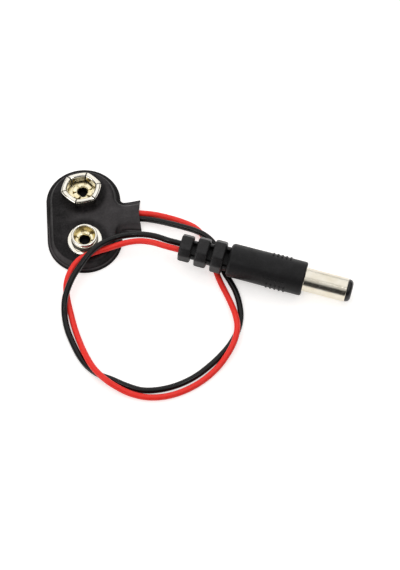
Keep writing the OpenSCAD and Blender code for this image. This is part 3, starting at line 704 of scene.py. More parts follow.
def cover_height(x, y, inset):
    """Height of the sheet: its wall, flatter on the tab, dishes round the contacts and some unevenness."""
    tab = ease(7.0, 10.5, x)
    base = wall_height(inset - 0.29 * tab * max(0, min(inset, 2.3) - 0.5))
    top = 0.8 + (base - 0.8) * (1 - tab * 0.1 / 1.6)
    reach = min(math.hypot(x, y - contact_y), math.hypot(x, y + contact_y))
    rise = 0.2 * ease(4.5, 6.2, reach) * ease(1.6, 3.0, inset) * (1 - tab)
    over_leads = 0.1 * tab * ease(1.0, 1.6, inset) * math.exp(-((abs(y) - 1.0) / 0.7) ** 2)
    waver = noise.noise(Vector((x, y, base)) * 0.33)
    uneven = 0.035 * waver * ease(0.2, 1.6, inset) * ease(3.9, 4.8, reach)
    return top + rise + over_leads + uneven


rim_and_middle = [round(cover_height(0, 0, inset), 2) for inset in (0, 8)]
print("sheet's height at the rim and in the middle:", rim_and_middle)

# %% Outer surface of the upper sheet
hole_r, hole_steps = 1.46, 48
grid, margin = 0.36, 0.2


def edge_gap(x, y):
    """Distance in from the edge of the pad or the tab."""
    return max(pad_r - math.hypot(x, max(0, abs(y) - lobe_y)), tab_half(x) - abs(y) if x > 5 else 0)


def strip(rows):
    """Quads between open rows of points of equal length."""
    n = len(rows[0])
    faces = []
    for j in range(len(rows) - 1):
        for i in range(n - 1):
            a = j * n + i
            faces.append((a, a + 1, a + n + 1, a + n))
    return [p for row in rows for p in row], faces


def flat_points(inner):
    """Points and fixed edges of the sheet's flat middle: its border, the two holes and an even grid."""
    border = edge_line(inner) + mouth_line(inner)
    flat = [Vector(p) for p in border]
    edges = [(k, (k + 1) % len(border)) for k in range(len(border))]
    for side in (-1, 1):
        start = len(flat)
        for k in range(hole_steps):
            a = math.radians(360 / hole_steps * k)
            flat.append(Vector((hole_r * math.cos(a), side * contact_y + hole_r * math.sin(a))))
        edges += [(start + k, start + (k + 1) % hole_steps) for k in range(hole_steps)]
    for i in range(-25, 40):
        for j in range(-40, 41):
            x, y = i * grid + grid / 2 * (j % 2), j * grid
            in_pad = math.hypot(x, max(0, abs(y) - lobe_y)) < pad_r - inner - margin
            in_tab = 5 < x < tab_mouth(y) - margin and abs(y) < tab_half(x) - inner - margin
            on_sheet = math.hypot(x, abs(y) - contact_y) > hole_r + 0.24
            if (in_pad or in_tab) and on_sheet:
                flat.append(Vector((x, y)))
    return flat, edges


def cover_sheet():
    """The sheet's outer surface: its wall in rows of quads, and its middle in triangles round the holes."""
    verts, faces = strip([
        [(x, y, cover_height(x, y, inset)) for x, y in edge_line(inset)] for inset, _ in wall_steps
    ])
    inner = wall_steps[-1][0]
    points, _, triangles = delaunay_2d_cdt(*flat_points(inner), [], 1, 1e-5)[:3]
    start = len(verts)
    for p in points:
        verts.append((p.x, p.y, cover_height(p.x, p.y, max(edge_gap(p.x, p.y), inner))))
    for triangle in triangles:
        middle = sum((points[i] for i in triangle), Vector((0, 0))) / 3
        if math.hypot(middle.x, abs(middle.y) - contact_y) > hole_r - 0.01:
            faces.append(tuple(start + i for i in triangle))
    return verts, faces


sheet = mesh_of("pad_cover", cover_sheet(), vinyl)
print("outer surface:", len(sheet.polygons), "faces")

# %% Thickness of the upper sheet
sheet_thickness = 0.38


def thickened(mesh, thickness):
    """The mesh as a sheet of some thickness, grown downward."""
    host = bpy.data.objects.new("sheet", mesh)
    scene.collection.objects.link(host)
    solidify = host.modifiers.new("thickness", "SOLIDIFY")
    solidify.thickness = thickness * mm
    solidify.offset = -1
    thick = bpy.data.meshes.new_from_object(host.evaluated_get(bpy.context.evaluated_depsgraph_get()))
    host.modifiers.remove(solidify)
    bpy.data.objects.remove(host)
    return thick


def facing_up(mesh):
    """Turns an open sheet so that its faces look up."""
    bm = bmesh.new()
    bm.from_mesh(mesh)
    bmesh.ops.recalc_face_normals(bm, faces=bm.faces)
    if sum(face.normal.z * face.calc_area() for face in bm.faces) < 0:
        bmesh.ops.reverse_faces(bm, faces=bm.faces)
    bm.to_mesh(mesh)
    bm.free()


facing_up(sheet)
cover_mesh = thickened(sheet, sheet_thickness)
tidy(cover_mesh, 50)
print("upper sheet:", len(cover_mesh.vertices), "points")

# %% [markdown]
# ## Painted light on the vinyl
# The black vinyl is made paler where light is painted on it. It could be painted by hand, but a number at
# every point of the mesh, an attribute, is enough: the material reads it and mixes in the paler colour. It
# is highest along the weld, as a painted highlight, and on the front walls, as painted light, and lower on
# the tab and on the saddle between the contacts, as a painted sheen.

# %% Painted light as an attribute
def painted_light_at(spot, normal):
    """How much light is painted on the vinyl at one point of the sheet."""
    x, y, z = spot
    reach = min(math.hypot(x, y - contact_y), math.hypot(x, y + contact_y))
    # Painted sheen on the saddle between the contacts.
    saddle = 0.42 * ease(4.8, 6.2, reach) * ease(-5.5, -0.5, x) * ease(2.3, 2.5, z)
    # Painted light on the tab, stronger on its front wall so that its shade is lifted.
    tab = (0.42 + 0.4 * ease(2.0, 3.0, -y)) * ease(7.0, 9.5, x) * ease(0.85, 1.2, z)
    # Painted light on the walls that face the front and the left.
    wall = 0.5 * ease(0.35, 0.85, -0.5 * normal.x - 0.85 * normal.y) * ease(0.85, 1.1, z)
    inset = edge_gap(x, y)
    seen_part = max(ease(2, 7, -y - 0.4 * x), ease(9, 10.5, x))
    # A painted highlight along the weld, on the front side and on the tab.
    weld = 0.8 * ease(0.2, 0.45, inset) * (1 - ease(0.52, 0.72, inset)) * seen_part
    return max(saddle, tab, wall, weld)


painted_light = cover_mesh.attributes.new("painted_light", "FLOAT", "POINT")
painted_light.data.foreach_set("value", [painted_light_at(v.co / mm, v.normal) for v in cover_mesh.vertices])
finished("pad_cover", cover_mesh, ["top_cover"])

# %% [markdown]
# ## The lower sheet
# The back of the pad is a flat sheet of the same vinyl, welded to the upper one. Its outline could simply
# be extruded, but a loft through six outlines, the outer ones set in a little, also rounds the edges, so
# that they catch the light.

# %% Lower sheet
def loft(loops, closed=False):
    """Quads between loops of equal length; a closed loft joins its last loop to its first."""
    rows, n = len(loops), len(loops[0])
    verts = [p for loop in loops for p in loop]
    faces = []
    for i in range(rows if closed else rows - 1):
        j = (i + 1) % rows
        for k in range(n):
            m = (k + 1) % n
            faces.append((i * n + k, i * n + m, j * n + m, j * n + k))
    if not closed:
        faces += [tuple(range(n))[::-1], tuple(range((rows - 1) * n, rows * n))]
    return verts, faces


back_layers = [(0.1, 0.0), (0.03, 0.03), (0, 0.1), (0, 0.3), (0.03, 0.37), (0.1, 0.4)]
back_loops = [[(x, y, z) for x, y in edge_line(inset) + mouth_line(inset)] for inset, z in back_layers]
finished("pad_back", mesh_of("pad_back", loft(back_loops), vinyl), ["back_cover"])

# %% [markdown]
# ## Copies that differ a little
# The crown has six petals, the eyelets six torn flaps, the plug three ribs and two rows of ridges. Making
# one and letting Geometry Nodes place the rest keeps them editable: one tree sets copies round an axis, and
# one sets them in a row and lets them grow. A fixed seed gives each petal its own small tilt.

# %% Helpers for the trees
def geometry_tree(name, inputs):
    """An empty tree with named inputs and one output for the geometry."""
    tree = bpy.data.node_groups.new(name, "GeometryNodeTree")
    for label, kind in inputs:
        tree.interface.new_socket(label, in_out="INPUT", socket_type="NodeSocket" + kind)
    tree.interface.new_socket("Geometry", in_out="OUTPUT", socket_type="NodeSocketGeometry")
    return tree, tree.nodes.new("NodeGroupInput"), tree.nodes.new("NodeGroupOutput")


def sum_node(tree, operation, first, second):
    """A Math node; each side is a number or a (node, socket)."""
    math_node = tree.nodes.new("ShaderNodeMath")
    math_node.operation = operation
    for i, side in enumerate((first, second)):
        if isinstance(side, tuple):
            wire(tree, side, (math_node, i))
        else:
            math_node.inputs[i].default_value = side
    return (math_node, 0)


def copies(tree, given, points, rotation, scale, ends):
    """Sets the shape on every point, then turns the copies into plain, finished mesh."""
    shape = tree.nodes.new("GeometryNodeObjectInfo")
    wire(tree, (given, "Shape"), (shape, "Object"))
    setter = tree.nodes.new("GeometryNodeInstanceOnPoints")
    wire(tree, points, (setter, "Points"))
    wire(tree, (shape, "Geometry"), (setter, "Instance"))
    if rotation:
        wire(tree, rotation, (setter, "Rotation"))
    wire(tree, scale, (setter, "Scale"))
    plain = tree.nodes.new("GeometryNodeRealizeInstances")
    finish = tree.nodes.new("GeometryNodeSetMaterial")
    wire(tree, (setter, "Instances"), (plain, "Geometry"))
    wire(tree, (plain, "Geometry"), (finish, "Geometry"))
    wire(tree, (given, "Finish"), (finish, "Material"))
    wire(tree, (finish, "Geometry"), (ends, "Geometry"))


def random_node(tree, spread_socket, seed_socket, middle):
    """A random value around the middle for each copy."""
    value = tree.nodes.new("FunctionNodeRandomValue")
    value.data_type = "FLOAT"
    wire(tree, sum_node(tree, "SUBTRACT", middle, spread_socket), (value, 2))
    wire(tree, sum_node(tree, "ADD", middle, spread_socket), (value, 3))
    wire(tree, seed_socket, (value, 8))
    return (value, 1)


print("node groups so far:", len(bpy.data.node_groups))

# %% Copies in a ring
ring_tree, ring_in, ring_out = geometry_tree("ring_of_copies", [
    ("Shape", "Object"), ("Count", "Int"), ("Turn", "Float"), ("Tilt Spread", "Float"),
    ("Size Spread", "Float"), ("Seed", "Int"), ("Finish", "Material"),
])
ring_line = ring_tree.nodes.new("GeometryNodeMeshLine")
ring_line.inputs["Offset"].default_value = (0, 0, 0)
wire(ring_tree, (ring_in, "Count"), (ring_line, "Count"))
ring_index = (ring_tree.nodes.new("GeometryNodeInputIndex"), 0)
ring_step = sum_node(ring_tree, "DIVIDE", 2 * math.pi, (ring_in, "Count"))
ring_place = sum_node(ring_tree, "MULTIPLY", ring_index, ring_step)
ring_angle = sum_node(ring_tree, "ADD", ring_place, (ring_in, "Turn"))
ring_turn = ring_tree.nodes.new("ShaderNodeCombineXYZ")
wire(ring_tree, random_node(ring_tree, (ring_in, "Tilt Spread"), (ring_in, "Seed"), 0.0), (ring_turn, "Y"))
wire(ring_tree, ring_angle, (ring_turn, "Z"))
ring_size = ring_tree.nodes.new("ShaderNodeCombineXYZ")
ring_grow = random_node(ring_tree, (ring_in, "Size Spread"), (ring_in, "Seed"), 1.0)
for axis_name in ("X", "Y"):
    wire(ring_tree, ring_grow, (ring_size, axis_name))
ring_size.inputs["Z"].default_value = 1
copies(ring_tree, ring_in, (ring_line, "Mesh"), (ring_turn, 0), (ring_size, 0), ring_out)
print("tree:", ring_tree.name, len(ring_tree.nodes), "nodes")

# %% Copies in a row
row_tree, row_in, row_out = geometry_tree("row_of_copies", [
    ("Shape", "Object"), ("Count", "Int"), ("Start", "Vector"), ("Pitch", "Vector"),
    ("First Size", "Vector"), ("Growth", "Vector"), ("Finish", "Material"),
])
row_line = row_tree.nodes.new("GeometryNodeMeshLine")
for label, socket in (("Count", "Count"), ("Start", "Start Location"), ("Pitch", "Offset")):
    wire(row_tree, (row_in, label), (row_line, socket))
row_grow = row_tree.nodes.new("ShaderNodeVectorMath")
row_grow.operation = "MULTIPLY_ADD"
wire(row_tree, (row_tree.nodes.new("GeometryNodeInputIndex"), 0), (row_grow, 0))
wire(row_tree, (row_in, "Growth"), (row_grow, 1))
wire(row_tree, (row_in, "First Size"), (row_grow, 2))
copies(row_tree, row_in, (row_line, "Mesh"), None, (row_grow, 0), row_out)
print("tree:", row_tree.name, len(row_tree.nodes), "nodes")

# %% [markdown]
# ## Running a tree
# A tree does nothing until a modifier runs it on an object. The modifier could stay, but the piece is
# handed over as a plain mesh, so its result is copied out and the modifier and its host are removed.

# %% Running a tree
def grown(name, tree, shape_mesh, values, place, crease=35):
    """Runs a tree on one shape, drawn in millimetres, and returns the plain mesh in its place, in metres."""
    shape = bpy.data.objects.new(name + "_shape", shape_mesh)
    host = bpy.data.objects.new(name + "_host", bpy.data.meshes.new(name + "_host"))
    scene.collection.objects.link(shape)
    scene.collection.objects.link(host)
    modifier = host.modifiers.new(tree.name, "NODES")
    modifier.node_group = tree
    sockets = {s.name: s.identifier for s in tree.interface.items_tree if s.in_out == "INPUT"}
    for label, value in {"Shape": shape, **values}.items():
        modifier[sockets[label]] = value
    mesh = bpy.data.meshes.new_from_object(host.evaluated_get(bpy.context.evaluated_depsgraph_get()))
    host.modifiers.remove(modifier)
    bpy.data.objects.remove(host)
    bpy.data.objects.remove(shape)
    mesh.name = name
    mesh.transform(Matrix.Scale(mm, 4) @ place)
    tidy(mesh, crease)
    return mesh


def drawn(name, shape):
    """A bare mesh in millimetres, for a tree to copy."""
    mesh = bpy.data.meshes.new(name)
    mesh.from_pydata([tuple(v) for v in shape[0]], [], shape[1])
    return mesh


def thick_drawn(name, shape, thickness):
    """The same for an open shape, which is given some thickness."""
    sheet = drawn(name, shape)
    sheet.transform(Matrix.Scale(mm, 4))
    thick = thickened(sheet, thickness)
    thick.transform(Matrix.Scale(1 / mm, 4))
    return thick


print("inputs of a row:", [s.name for s in row_tree.interface.items_tree if s.in_out == "INPUT"])

# %% [markdown]
# ## The crown contact
# A strip of nickel-plated spring metal is stamped into six petals, bent up and rolled over, so that each
# one ends in a bright bar with its lip tucked inside. One petal is a strip of points that climbs, turns
# over and comes down again, a little wider in its middle. The ring tree sets six of them, and six thin dark
# blocks of painted shade behind the slits. The slits' edges take the dark flux as painted shade, and the
# inner walls a paler plate as painted light.

# %% One petal
seat_z = 2.4
crown_place = Matrix.Translation((-0.22, contact_y, seat_z)) @ Matrix.Diagonal((1.06, 0.97, 1, 1))
petal_outer, roll_r, roll_z, slit = 3.98, 0.58, 2.05, 0.42


def petal_line():
    """The petal seen from the side, from its foot over the roll to its lip, as (radius, height)."""
    line = [(petal_outer - 0.42, 0.02), (petal_outer - 0.34, 0.22), (petal_outer - 0.26, 0.6)]
    line += [(petal_outer - 0.16, 1.1), (petal_outer - 0.06, 1.65)]
    centre = petal_outer - roll_r
    for degrees in range(0, 181, 12):
        a = math.radians(degrees)
        line.append((centre + roll_r * math.cos(a), roll_z + roll_r * math.sin(a)))
    line += [(centre - roll_r - 0.02, 1.8), (centre - roll_r - 0.07, 1.45), (centre - roll_r - 0.13, 1.1)]
    return line


def petal_shape():
    """One petal, whose bar bows outward in its middle."""
    rows = []
    for r, z in petal_line():
        half = r * math.tan(math.pi / 6) - slit / 2
        bow = 0.16 * ease(0.2, 2.2, z)
        row = []
        for i in range(11):
            t = i / 5 - 1
            row.append((r + bow * (1 - t ** 2) - 0.06 * abs(t) ** 4, half * t, z))
        rows.append(row)
    return strip(rows)


print("petal:", len(petal_shape()[0]), "points")

# %% Six petals
petals_mesh = grown(
    "crown_petals", ring_tree, thick_drawn("petal", petal_shape(), 0.26),
    {"Count": 6, "Turn": math.radians(41), "Tilt Spread": 0.012, "Size Spread": 0.008, "Seed": 4,
     "Finish": nickel},
    crown_place,
)
petals_mesh.materials.append(petal_inside_painted_light)
petals_mesh.materials.append(flux_and_shade)
for face in petals_mesh.polygons:
    spot = face.center / mm - crown_place.translation
    outward = Vector((spot.x, spot.y, 0)).normalized()
    # Painted shade: the slits' edges take the dark flux.
    if abs(face.normal.cross(outward).z) > 0.8:
        face.material_index = 2
    # Painted light: the inner walls below the roll take the paler plate.
    elif spot.z < 2.1 and face.normal.dot(outward) < -0.3:
        face.material_index = 1
finished("crown_petals", petals_mesh, ["socket_crown"])

# %% [markdown]
# ## Painted shade in the slits, and the crown's base
# The slits between the petals look dark in the photograph, and a round base holds all six petals. The slits
# could be left open, but then light falls through them, so the ring tree sets a small dark block of painted
# shade into each one. The base is a ring, lofted through circles of points.

# %% Painted shade in the crown's slits
slit_shade_levels = [(3.3, 4.3, 0.2), (3.28, 4.36, 1.2), (3.3, 4.44, 2.1), (3.36, 4.4, 2.25), (3.5, 4.3, 2.32)]
slit_shade_loops = [[(a, -0.17, z), (b, -0.17, z), (b, 0.17, z), (a, 0.17, z)] for a, b, z in slit_shade_levels]
slit_shade_mesh = grown(
    "crown_webs", ring_tree, drawn("crown_slit_shade_block", loft(slit_shade_loops)),
    {"Count": 6, "Turn": math.radians(11), "Tilt Spread": 0.0, "Size Spread": 0.01, "Seed": 4,
     "Finish": flux_and_shade},
    crown_place,
)
finished("crown_webs", slit_shade_mesh, ["socket_crown"])

# %% Crown base
def circle(radius, height):
    """Points round a circle at one height."""
    angles = [2 * math.pi * k / 96 for k in range(96)]
    return [(radius * math.cos(a), radius * math.sin(a), height) for a in angles]


base_r = 3.45
base_line = [(base_r, 0.0), (base_r, 0.27), (0.985 * base_r, 0.34), (0.9 * base_r, 0.36)]
base_line += [(1.75, 0.34), (1.5, 0.3), (1.45, 0.2), (1.45, 0.0)]
base_loops = [circle(r, z) for r, z in base_line]
base_mesh = mesh_of("crown_base", loft(base_loops, closed=True), eyelet_plate, crown_place)
finished("crown_base", base_mesh, ["socket_crown"])

# %% [markdown]
# ## The stud contact
# The stud is drawn from one disc: a flange with a curled edge, a narrow neck that the mating petals snap
# around, and a cup with a rolled lip. All of it is round, so a single outline turned about its axis is
# enough, and the faces inside the cup take the warmer plating that shows there. The neck and the inner edge
# of the flange take a dark plate, painted shade under the cup.

# %% Stud
def turned(profile, steps=96, shape=None):
    """A closed (radius, height) outline turned about Z; shape may vary the radius with height and angle."""
    loops = []
    for i in range(steps):
        a = 2 * math.pi * i / steps
        radii = [shape(r, h, a) if shape else r for r, h in profile]
        loops.append([(r * math.cos(a), r * math.sin(a), h) for r, (_, h) in zip(radii, profile)])
    return loft(loops, closed=True)


stud_place = Matrix.Translation((0, -contact_y, seat_z))
stud_line = [
    (1.4, 0.0), (3.7, 0.0), (3.88, 0.06), (3.99, 0.19), (3.98, 0.32), (3.9, 0.42), (3.76, 0.47), (3.5, 0.48),
    (3.1, 0.46), (2.84, 0.46), (2.7, 0.5), (2.65, 0.58), (2.65, 0.84), (2.7, 0.96), (2.84, 1.17), (2.92, 1.3),
    (2.94, 1.8), (2.97, 2.2), (2.98, 2.32), (2.95, 2.44), (2.87, 2.54), (2.75, 2.595), (2.62, 2.6),
    (2.51, 2.56), (2.44, 2.48), (2.41, 2.36), (2.4, 2.15), (2.38, 1.6), (2.33, 1.05), (2.22, 0.7),
    (2.02, 0.48), (1.8, 0.39), (1.4, 0.36),
]
stud_mesh = mesh_of("stud", turned(stud_line), nickel, stud_place, crease=60)
stud_mesh.materials.append(cup_plate)
stud_mesh.materials.append(painted_shade_plate)
for face in stud_mesh.polygons:
    spot = face.center / mm - stud_place.translation
    reach = math.hypot(spot.x, spot.y)
    if reach < 2.42 and spot.z < 1.9:
        face.material_index = 1
    # Painted shade: the neck and the flange's inner edge take the dark plate.
    elif reach < 3.1 and spot.z < 1.2:
        face.material_index = 2
finished("stud", stud_mesh, ["stud_cup"])

# %% [markdown]
# ## The eyelets
# A hollow eyelet holds each contact. Its end was spread with a punch and tore into flaps, so the hole is
# ragged and no two flaps are alike. A turned tube whose radius wavers makes the hole, and the ring tree
# sets the six flaps with plenty of spread.

# %% Torn edge and flap
def ragged(seed):
    """Radius of an eyelet's tube at each angle: round below, wavering at its torn mouth."""
    def radius(r, h, a):
        waver = noise.noise(Vector((1.8 * math.cos(a), 1.8 * math.sin(a), seed)))
        return r * (1 + 0.2 * waver * ease(1.7, 2.8, h))
    return radius


def flap_shape(reach):
    """One flap of a flare: starts on the tube's mouth, curls outward and down, and narrows to a blunt end."""
    rows = []
    spans = [(1.34, 0.0, 28), (1.42, 0.14, 27.5), (1.56, 0.22, 26), (1.74, 0.25, 24)]
    beyond = reach - 1.5
    spans += [(1.5 + beyond * 0.62, 0.29, 21.5), (1.5 + beyond * 0.88, 0.22, 18), (reach, 0.13, 13)]
    for r, z, half in spans:
        row = []
        for i in range(9):
            a = math.radians(half * (i / 4 - 1))
            row.append((r * math.cos(a), r * math.sin(a), z))
        rows.append(row)
    return strip(rows)


print("flap:", len(flap_shape(2.1)[0]), "points")

# %% Eyelets
def eyelet(name, side, flare_r, seed, turn):
    """Tube and flaps of one eyelet, which stand for the solid of the same name."""
    tube_line = [
        (1.15, 1.17), (2.05, 1.16), (2.1, 1.22), (2.05, 1.38), (1.38, 1.39), (1.38, 2.6), (1.47, 2.74),
        (1.48, 2.86), (1.38, 2.88), (1.3, 2.78), (1.23, 2.5), (1.18, 1.7),
    ]
    place = Matrix.Translation((0, side * contact_y, 0))
    tube = mesh_of(name + "_tube", turned(tube_line, 72, ragged(seed)), eyelet_plate, place)
    # Painted shade: deep in the hole, the tube's inner wall takes the dark flux.
    tube.materials.append(flux_and_shade)
    for face in tube.polygons:
        spot = face.center / mm - place.translation
        if face.normal.dot(Vector((spot.x, spot.y, 0)).normalized()) < -0.5 and spot.z < 2.8:
            face.material_index = 1
    flaps = grown(
        name + "_flaps", ring_tree, thick_drawn("flap", flap_shape(flare_r), 0.14),
        {"Count": 6, "Turn": math.radians(turn), "Tilt Spread": 0.10, "Size Spread": 0.07, "Seed": seed,
         "Finish": eyelet_plate},
        place @ Matrix.Translation((0, 0, 2.84)),
    )
    finished(name + "_tube", tube, [name])
    finished(name + "_flaps", flaps, [name])


eyelet("socket_eyelet", side=1, flare_r=2.45, seed=7, turn=40)
eyelet("stud_eyelet", side=-1, flare_r=2.1, seed=11, turn=12)

# %% [markdown]
# ## The plug's strain relief
# Behind the plug's body the moulding is cut into three ribs, so that the leads can bend without breaking.
# The ribs have a flat top and sloping shoulders and grow towards the body. Between them a thinner neck
# leaves a window above and below, turned a little because the plug has rolled. The row tree makes three of
# each from one shape.

# %% Outlines with round corners
def rounded(corners, steps=5):
    """A closed outline whose corners, each (x, y, radius), are rounded."""
    line = []
    for i, (x, y, r) in enumerate(corners):
        p = Vector((x, y))
        if r == 0:
            line.append(p)
            continue
        back = Vector(corners[i - 1][:2]) - p
        ahead = Vector(corners[(i + 1) % len(corners)][:2]) - p
        half = back.angle(ahead) / 2
        reach = min(r / math.tan(half), 0.49 * back.length, 0.49 * ahead.length)
        start, end = p + back.normalized() * reach, p + ahead.normalized() * reach
        centre = p + (back.normalized() + ahead.normalized()).normalized() * (reach / math.cos(half))
        swing = math.pi - 2 * half
        for k in range(steps + 1):
            t = k / steps
            spoke = (start - centre) * math.sin((1 - t) * swing) + (end - centre) * math.sin(t * swing)
            line.append(centre + spoke / math.sin(swing))
    return line


def by_angle(outline, n):
    """An outline around the origin, sampled at n even angles."""
    samples = []
    for k in range(n):
        ray = Vector((math.cos(2 * math.pi * k / n), math.sin(2 * math.pi * k / n)))
        for p, q in zip(outline, outline[1:] + outline[:1]):
            edge = q - p
            across = ray.cross(edge)
            if abs(across) < 1e-12:
                continue
            reach, along = p.cross(edge) / across, p.cross(ray) / across
            if reach > 0 and -1e-9 <= along <= 1 + 1e-9:
                samples.append(ray * reach)
                break
    return samples


def box_corners(half_y, half_z, r):
    """Corners of a box about the origin, for the function rounded."""
    return [(half_y, half_z, r), (-half_y, half_z, r), (-half_y, -half_z, r), (half_y, -half_z, r)]


print("points round a small box:", len(rounded(box_corners(1, 1, 0.2))))

# %% Ribs
rib_pitch, rib_length = 3.8, 2.8
rib_half_y, rib_half_z, rib_round = 3.5, 3.3, 0.7
rib_quarter = [(rib_half_y, 1.5), (1.95, rib_half_z)]
rib_upper = rib_quarter + [(-y, z) for y, z in reversed(rib_quarter)]
rib_corners = [(y, z, rib_round) for y, z in rib_upper + [(-y, -z) for y, z in rib_upper]]
rib_edge = by_angle(rounded(rib_corners, 6), 96)
lead_hole = by_angle(rounded(box_corners(1.94, 0.94, 0.93), 10), 96)
rib_stations = [
    (0.0, 0.5), (0.03, 0.34), (0.12, 0.16), (0.28, 0.04), (0.5, 0), (2.3, 0), (2.52, 0.04), (2.68, 0.16),
    (2.77, 0.34), (rib_length, 0.5),
]
rib_loops = []
for x, inset in rib_stations:
    shrink_y, shrink_z = 1 - inset / rib_half_y, 1 - inset / rib_half_z
    rib_loops.append([(x, p.x * shrink_y, p.y * shrink_z) for p in rib_edge])
rib_loops += [[(x, p.x, p.y) for p in lead_hole] for x in (rib_length, 0.0)]
ribs_mesh = grown(
    "ribs", row_tree, drawn("rib", loft(rib_loops, closed=True)),
    {"Count": 3, "Start": (0, 0, 0), "Pitch": (rib_pitch, 0, 0), "First Size": (1, 0.829, 0.818),
     "Growth": (0, 0.0857, 0.091), "Finish": rib_pvc_painted_light},
    plug_frame,
)
plug_ribs = finished("plug_ribs", ribs_mesh, ["plug_overmould"])

# %% [markdown]
# ## Necks between the ribs
# Between two ribs, a curved wall stands on either side of a tube round the leads, and the space above and
# below the tube is the window. Cutting windows out of a solid with a Boolean would leave untidy faces, so
# the walls and the tube are drawn as they are and joined.

# %% Necks between the ribs
plug_roll = 24
neck_start, neck_end = 2.74, 3.86


def prism(outline, start, end):
    """A convex section, drawn as (Y, Z), along the plug's axis, with slightly broken end edges."""
    middle = sum((Vector(p) for p in outline), Vector((0, 0))) / len(outline)
    loops = []
    for x, scale in ((start, 0.97), (start + 0.04, 1), (end - 0.04, 1), (end, 0.97)):
        loops.append([(x, *(middle + (Vector(p) - middle) * scale)) for p in outline])
    return loft(loops)


def joined(*shapes):
    """Several (vertices, faces) shapes as one."""
    verts, faces = [], []
    for more_verts, more_faces in shapes:
        start = len(verts)
        verts += more_verts
        faces += [tuple(start + i for i in face) for face in more_faces]
    return verts, faces


web_angles = [math.radians(a) for a in range(-46, 47, 4)]
web = [(0.3 + 2.5 * math.cos(a), 2.5 * math.sin(a)) for a in web_angles]
web = [(1.9, web[0][1] + 0.05), *web, (1.9, web[-1][1] - 0.05)]
web = [tuple(Matrix.Rotation(math.radians(plug_roll), 2) @ Vector(p)) for p in web]
tube_edges = [by_angle(rounded(box_corners(*box)), 64) for box in ((2.1, 1.12, 0.3), (1.94, 0.95, 0.5))]
tube_ends = ((neck_start, 0), (neck_end, 0), (neck_end, 1), (neck_start, 1))
tube_loops = [[(x, p.x, p.y) for p in tube_edges[i]] for x, i in tube_ends]
neck_shape = joined(
    prism(web, neck_start, neck_end),
    prism([(-y, -z) for y, z in web], neck_start, neck_end),
    loft(tube_loops, closed=True),
)
necks_mesh = grown(
    "necks", row_tree, drawn("neck", neck_shape),
    {"Count": 3, "Start": (0, 0, 0), "Pitch": (rib_pitch, 0, 0), "First Size": (1, 0.786, 0.76),
     "Growth": (0, 0.107, 0.12), "Finish": plug_pvc},
    plug_frame,
)
plug_necks = finished("plug_necks", necks_mesh, ["plug_overmould"])

# %% [markdown]
# ## The plug's body
# The body is moulded round and slightly wider towards its front, with generous edges. A cylinder with a
# bevel would come close, but the body is hollow, since the inner moulding and the barrel's collar sit
# inside. One outline with rounded corners, turned like the stud, draws the outside and the inside together.

# %% Body
turn_to_axis = Matrix.Rotation(math.radians(90), 4, "Y")
body_corners = [
    (1.6, 11.4, 0), (3.85, 11.4, plug_edge_r), (plug_r, plug_face, plug_edge_r), (2.97, plug_face, 0.1),
    (2.97, 27.02, 0), (3.42, 27.02, 0), (3.42, 25.98, 0), (3.22, 25.98, 0), (3.22, 12.58, 0), (1.6, 12.58, 0),
]
body_mesh = mesh_of(
    "plug_body", turned(rounded(body_corners, 8), 128), plug_pvc, plug_frame @ turn_to_axis, crease=40,
)
plug_body = finished("plug_body", body_mesh, ["plug_overmould"])

# %% [markdown]
# ## Ridges and pips
# Five short ridges on either side give the fingers a grip, and a row of small pips runs along the body.
# They could be a bump in the material, but they break the body's outline, so they are shapes. The row tree
# repeats one of each.

# %% Ridges
def arc_ridge(middle_deg, radius, thick, spread_deg):
    """A rounded ridge that follows the body's side, with its middle at one angle round the axis."""
    loops = []
    steps, round_steps = 16, 12
    for i in range(steps + 1):
        t = 2 * i / steps - 1
        a = math.radians(middle_deg + spread_deg * t)
        r = thick * math.sqrt(max(0.02, 1 - t ** 8))
        out = Vector((0, math.cos(a), math.sin(a)))
        loops.append([
            tuple(out * (radius + r * math.cos(b)) + Vector((r * math.sin(b), 0, 0)))
            for b in (2 * math.pi * k / round_steps for k in range(round_steps))
        ])
    return loft(loops)


ridge_pair = [arc_ridge(a + plug_roll, radius=3.84, thick=0.28, spread_deg=38) for a in (0, 180)]
ridge_mesh = drawn("ridge", joined(*ridge_pair))
ridges_mesh = grown(
    "ridges", row_tree, ridge_mesh,
    {"Count": 5, "Start": (25.0, 0, 0), "Pitch": (-1.0, 0, 0), "First Size": (1, 1, 1),
     "Growth": (0, -0.003, 0), "Finish": plug_pvc},
    plug_frame,
)
plug_ridges = finished("plug_ridges", ridges_mesh, ["plug_overmould"])

# %% Pips
pip_line = [(0, -0.2), (0.24, -0.2), (0.24, 0.0), (0.2, 0.09), (0.12, 0.15), (0, 0.17)]
pip_tip = Matrix.Translation((0, -3.41, 1.88)) @ Matrix.Rotation(math.radians(61), 4, "X")
pip_shape = turned(pip_line, 16)
pip_shape = ([tuple(pip_tip @ Vector(v)) for v in pip_shape[0]], pip_shape[1])
pips_mesh = grown(
    "pips", row_tree, drawn("pip", pip_shape),
    {"Count": 6, "Start": (24.6, 0, 0), "Pitch": (-0.85, 0, 0), "First Size": (1, 1, 1),
     "Growth": (0, 0, 0), "Finish": plug_pvc},
    plug_frame,
)
plug_pips = finished("plug_pips", pips_mesh, ["plug_overmould"])

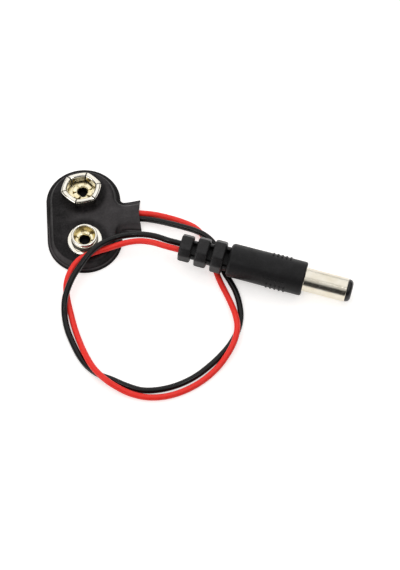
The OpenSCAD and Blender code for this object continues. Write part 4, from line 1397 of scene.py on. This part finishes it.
# %% [markdown]
# ## The barrel
# The barrel is a thin nickel-plated tube with a rounded rim, held by a collar inside the body. It could
# start from a plain cylinder, but an outline turned about the plug's axis gives the rim and the collar in
# one go.

# %% Barrel
barrel_corners = [
    (2.35, 26.02, 0), (3.4, 26.02, 0), (3.4, 26.98, 0), (2.95, 26.98, 0), (2.95, 28.98, 0.05),
    (2.75, plug_face, 0.1), (2.75, 38.8, 0.16), (2.35, 38.8, 0.1),
]
barrel_mesh = mesh_of(
    "barrel", turned(rounded(barrel_corners, 4), 128), barrel_nickel, plug_frame @ turn_to_axis, crease=40,
)
barrel = finished("barrel", barrel_mesh, ["plug_sleeve"])

# %% [markdown]
# ## The nose
# A black bush fills the barrel and ends in a nose with a round edge, around the opening for the jack's pin.
# It is turned like the barrel. Its edge is so small that its points are typed in, rather than rounded by
# the helper.

# %% Nose
nose_line = [
    (1.37, 28.2), (2.33, 28.2), (2.33, 38.82), (2.57, 38.82), (2.58, 39.0), (2.55, 39.22), (2.47, 39.45),
    (2.33, 39.66), (2.12, 39.83), (1.86, 39.95), (1.62, 40.0), (1.46, 39.98), (1.37, 39.88),
]
nose_mesh = mesh_of("plug_nose", turned(nose_line), nose_plastic, plug_frame @ turn_to_axis, crease=50)
plug_nose = finished("plug_nose", nose_mesh, ["plug_insulator"])

# %% [markdown]
# ## The leads, and what hangs on them
# The leads are loose, so a simulation needs to know their real length, their thickness and what hangs on
# their far end. Apart from a short stretch under the plug, each lead shows in the photograph from the tab's
# mouth to the first rib, so the curve's own length is the real one. Here the two curves join the part's
# root, their solids are hidden, and the plug's pieces, which hang on their far end, are gathered in a list.

# %% Leads and the plug's pieces
for lead, node in ((red_wire, "red_lead"), (black_wire, "black_lead")):
    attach(lead, "root")
    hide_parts(node)
plug_pieces = [plug_ribs, plug_necks, plug_body, plug_ridges, plug_pips, barrel, plug_nose]
plug_pieces += [
    "plug_inner_mould", "plug_washer", "centre_contact", "sleeve_terminal", "red_strand_plug",
    "black_strand_plug", "centre_solder", "sleeve_solder",
]
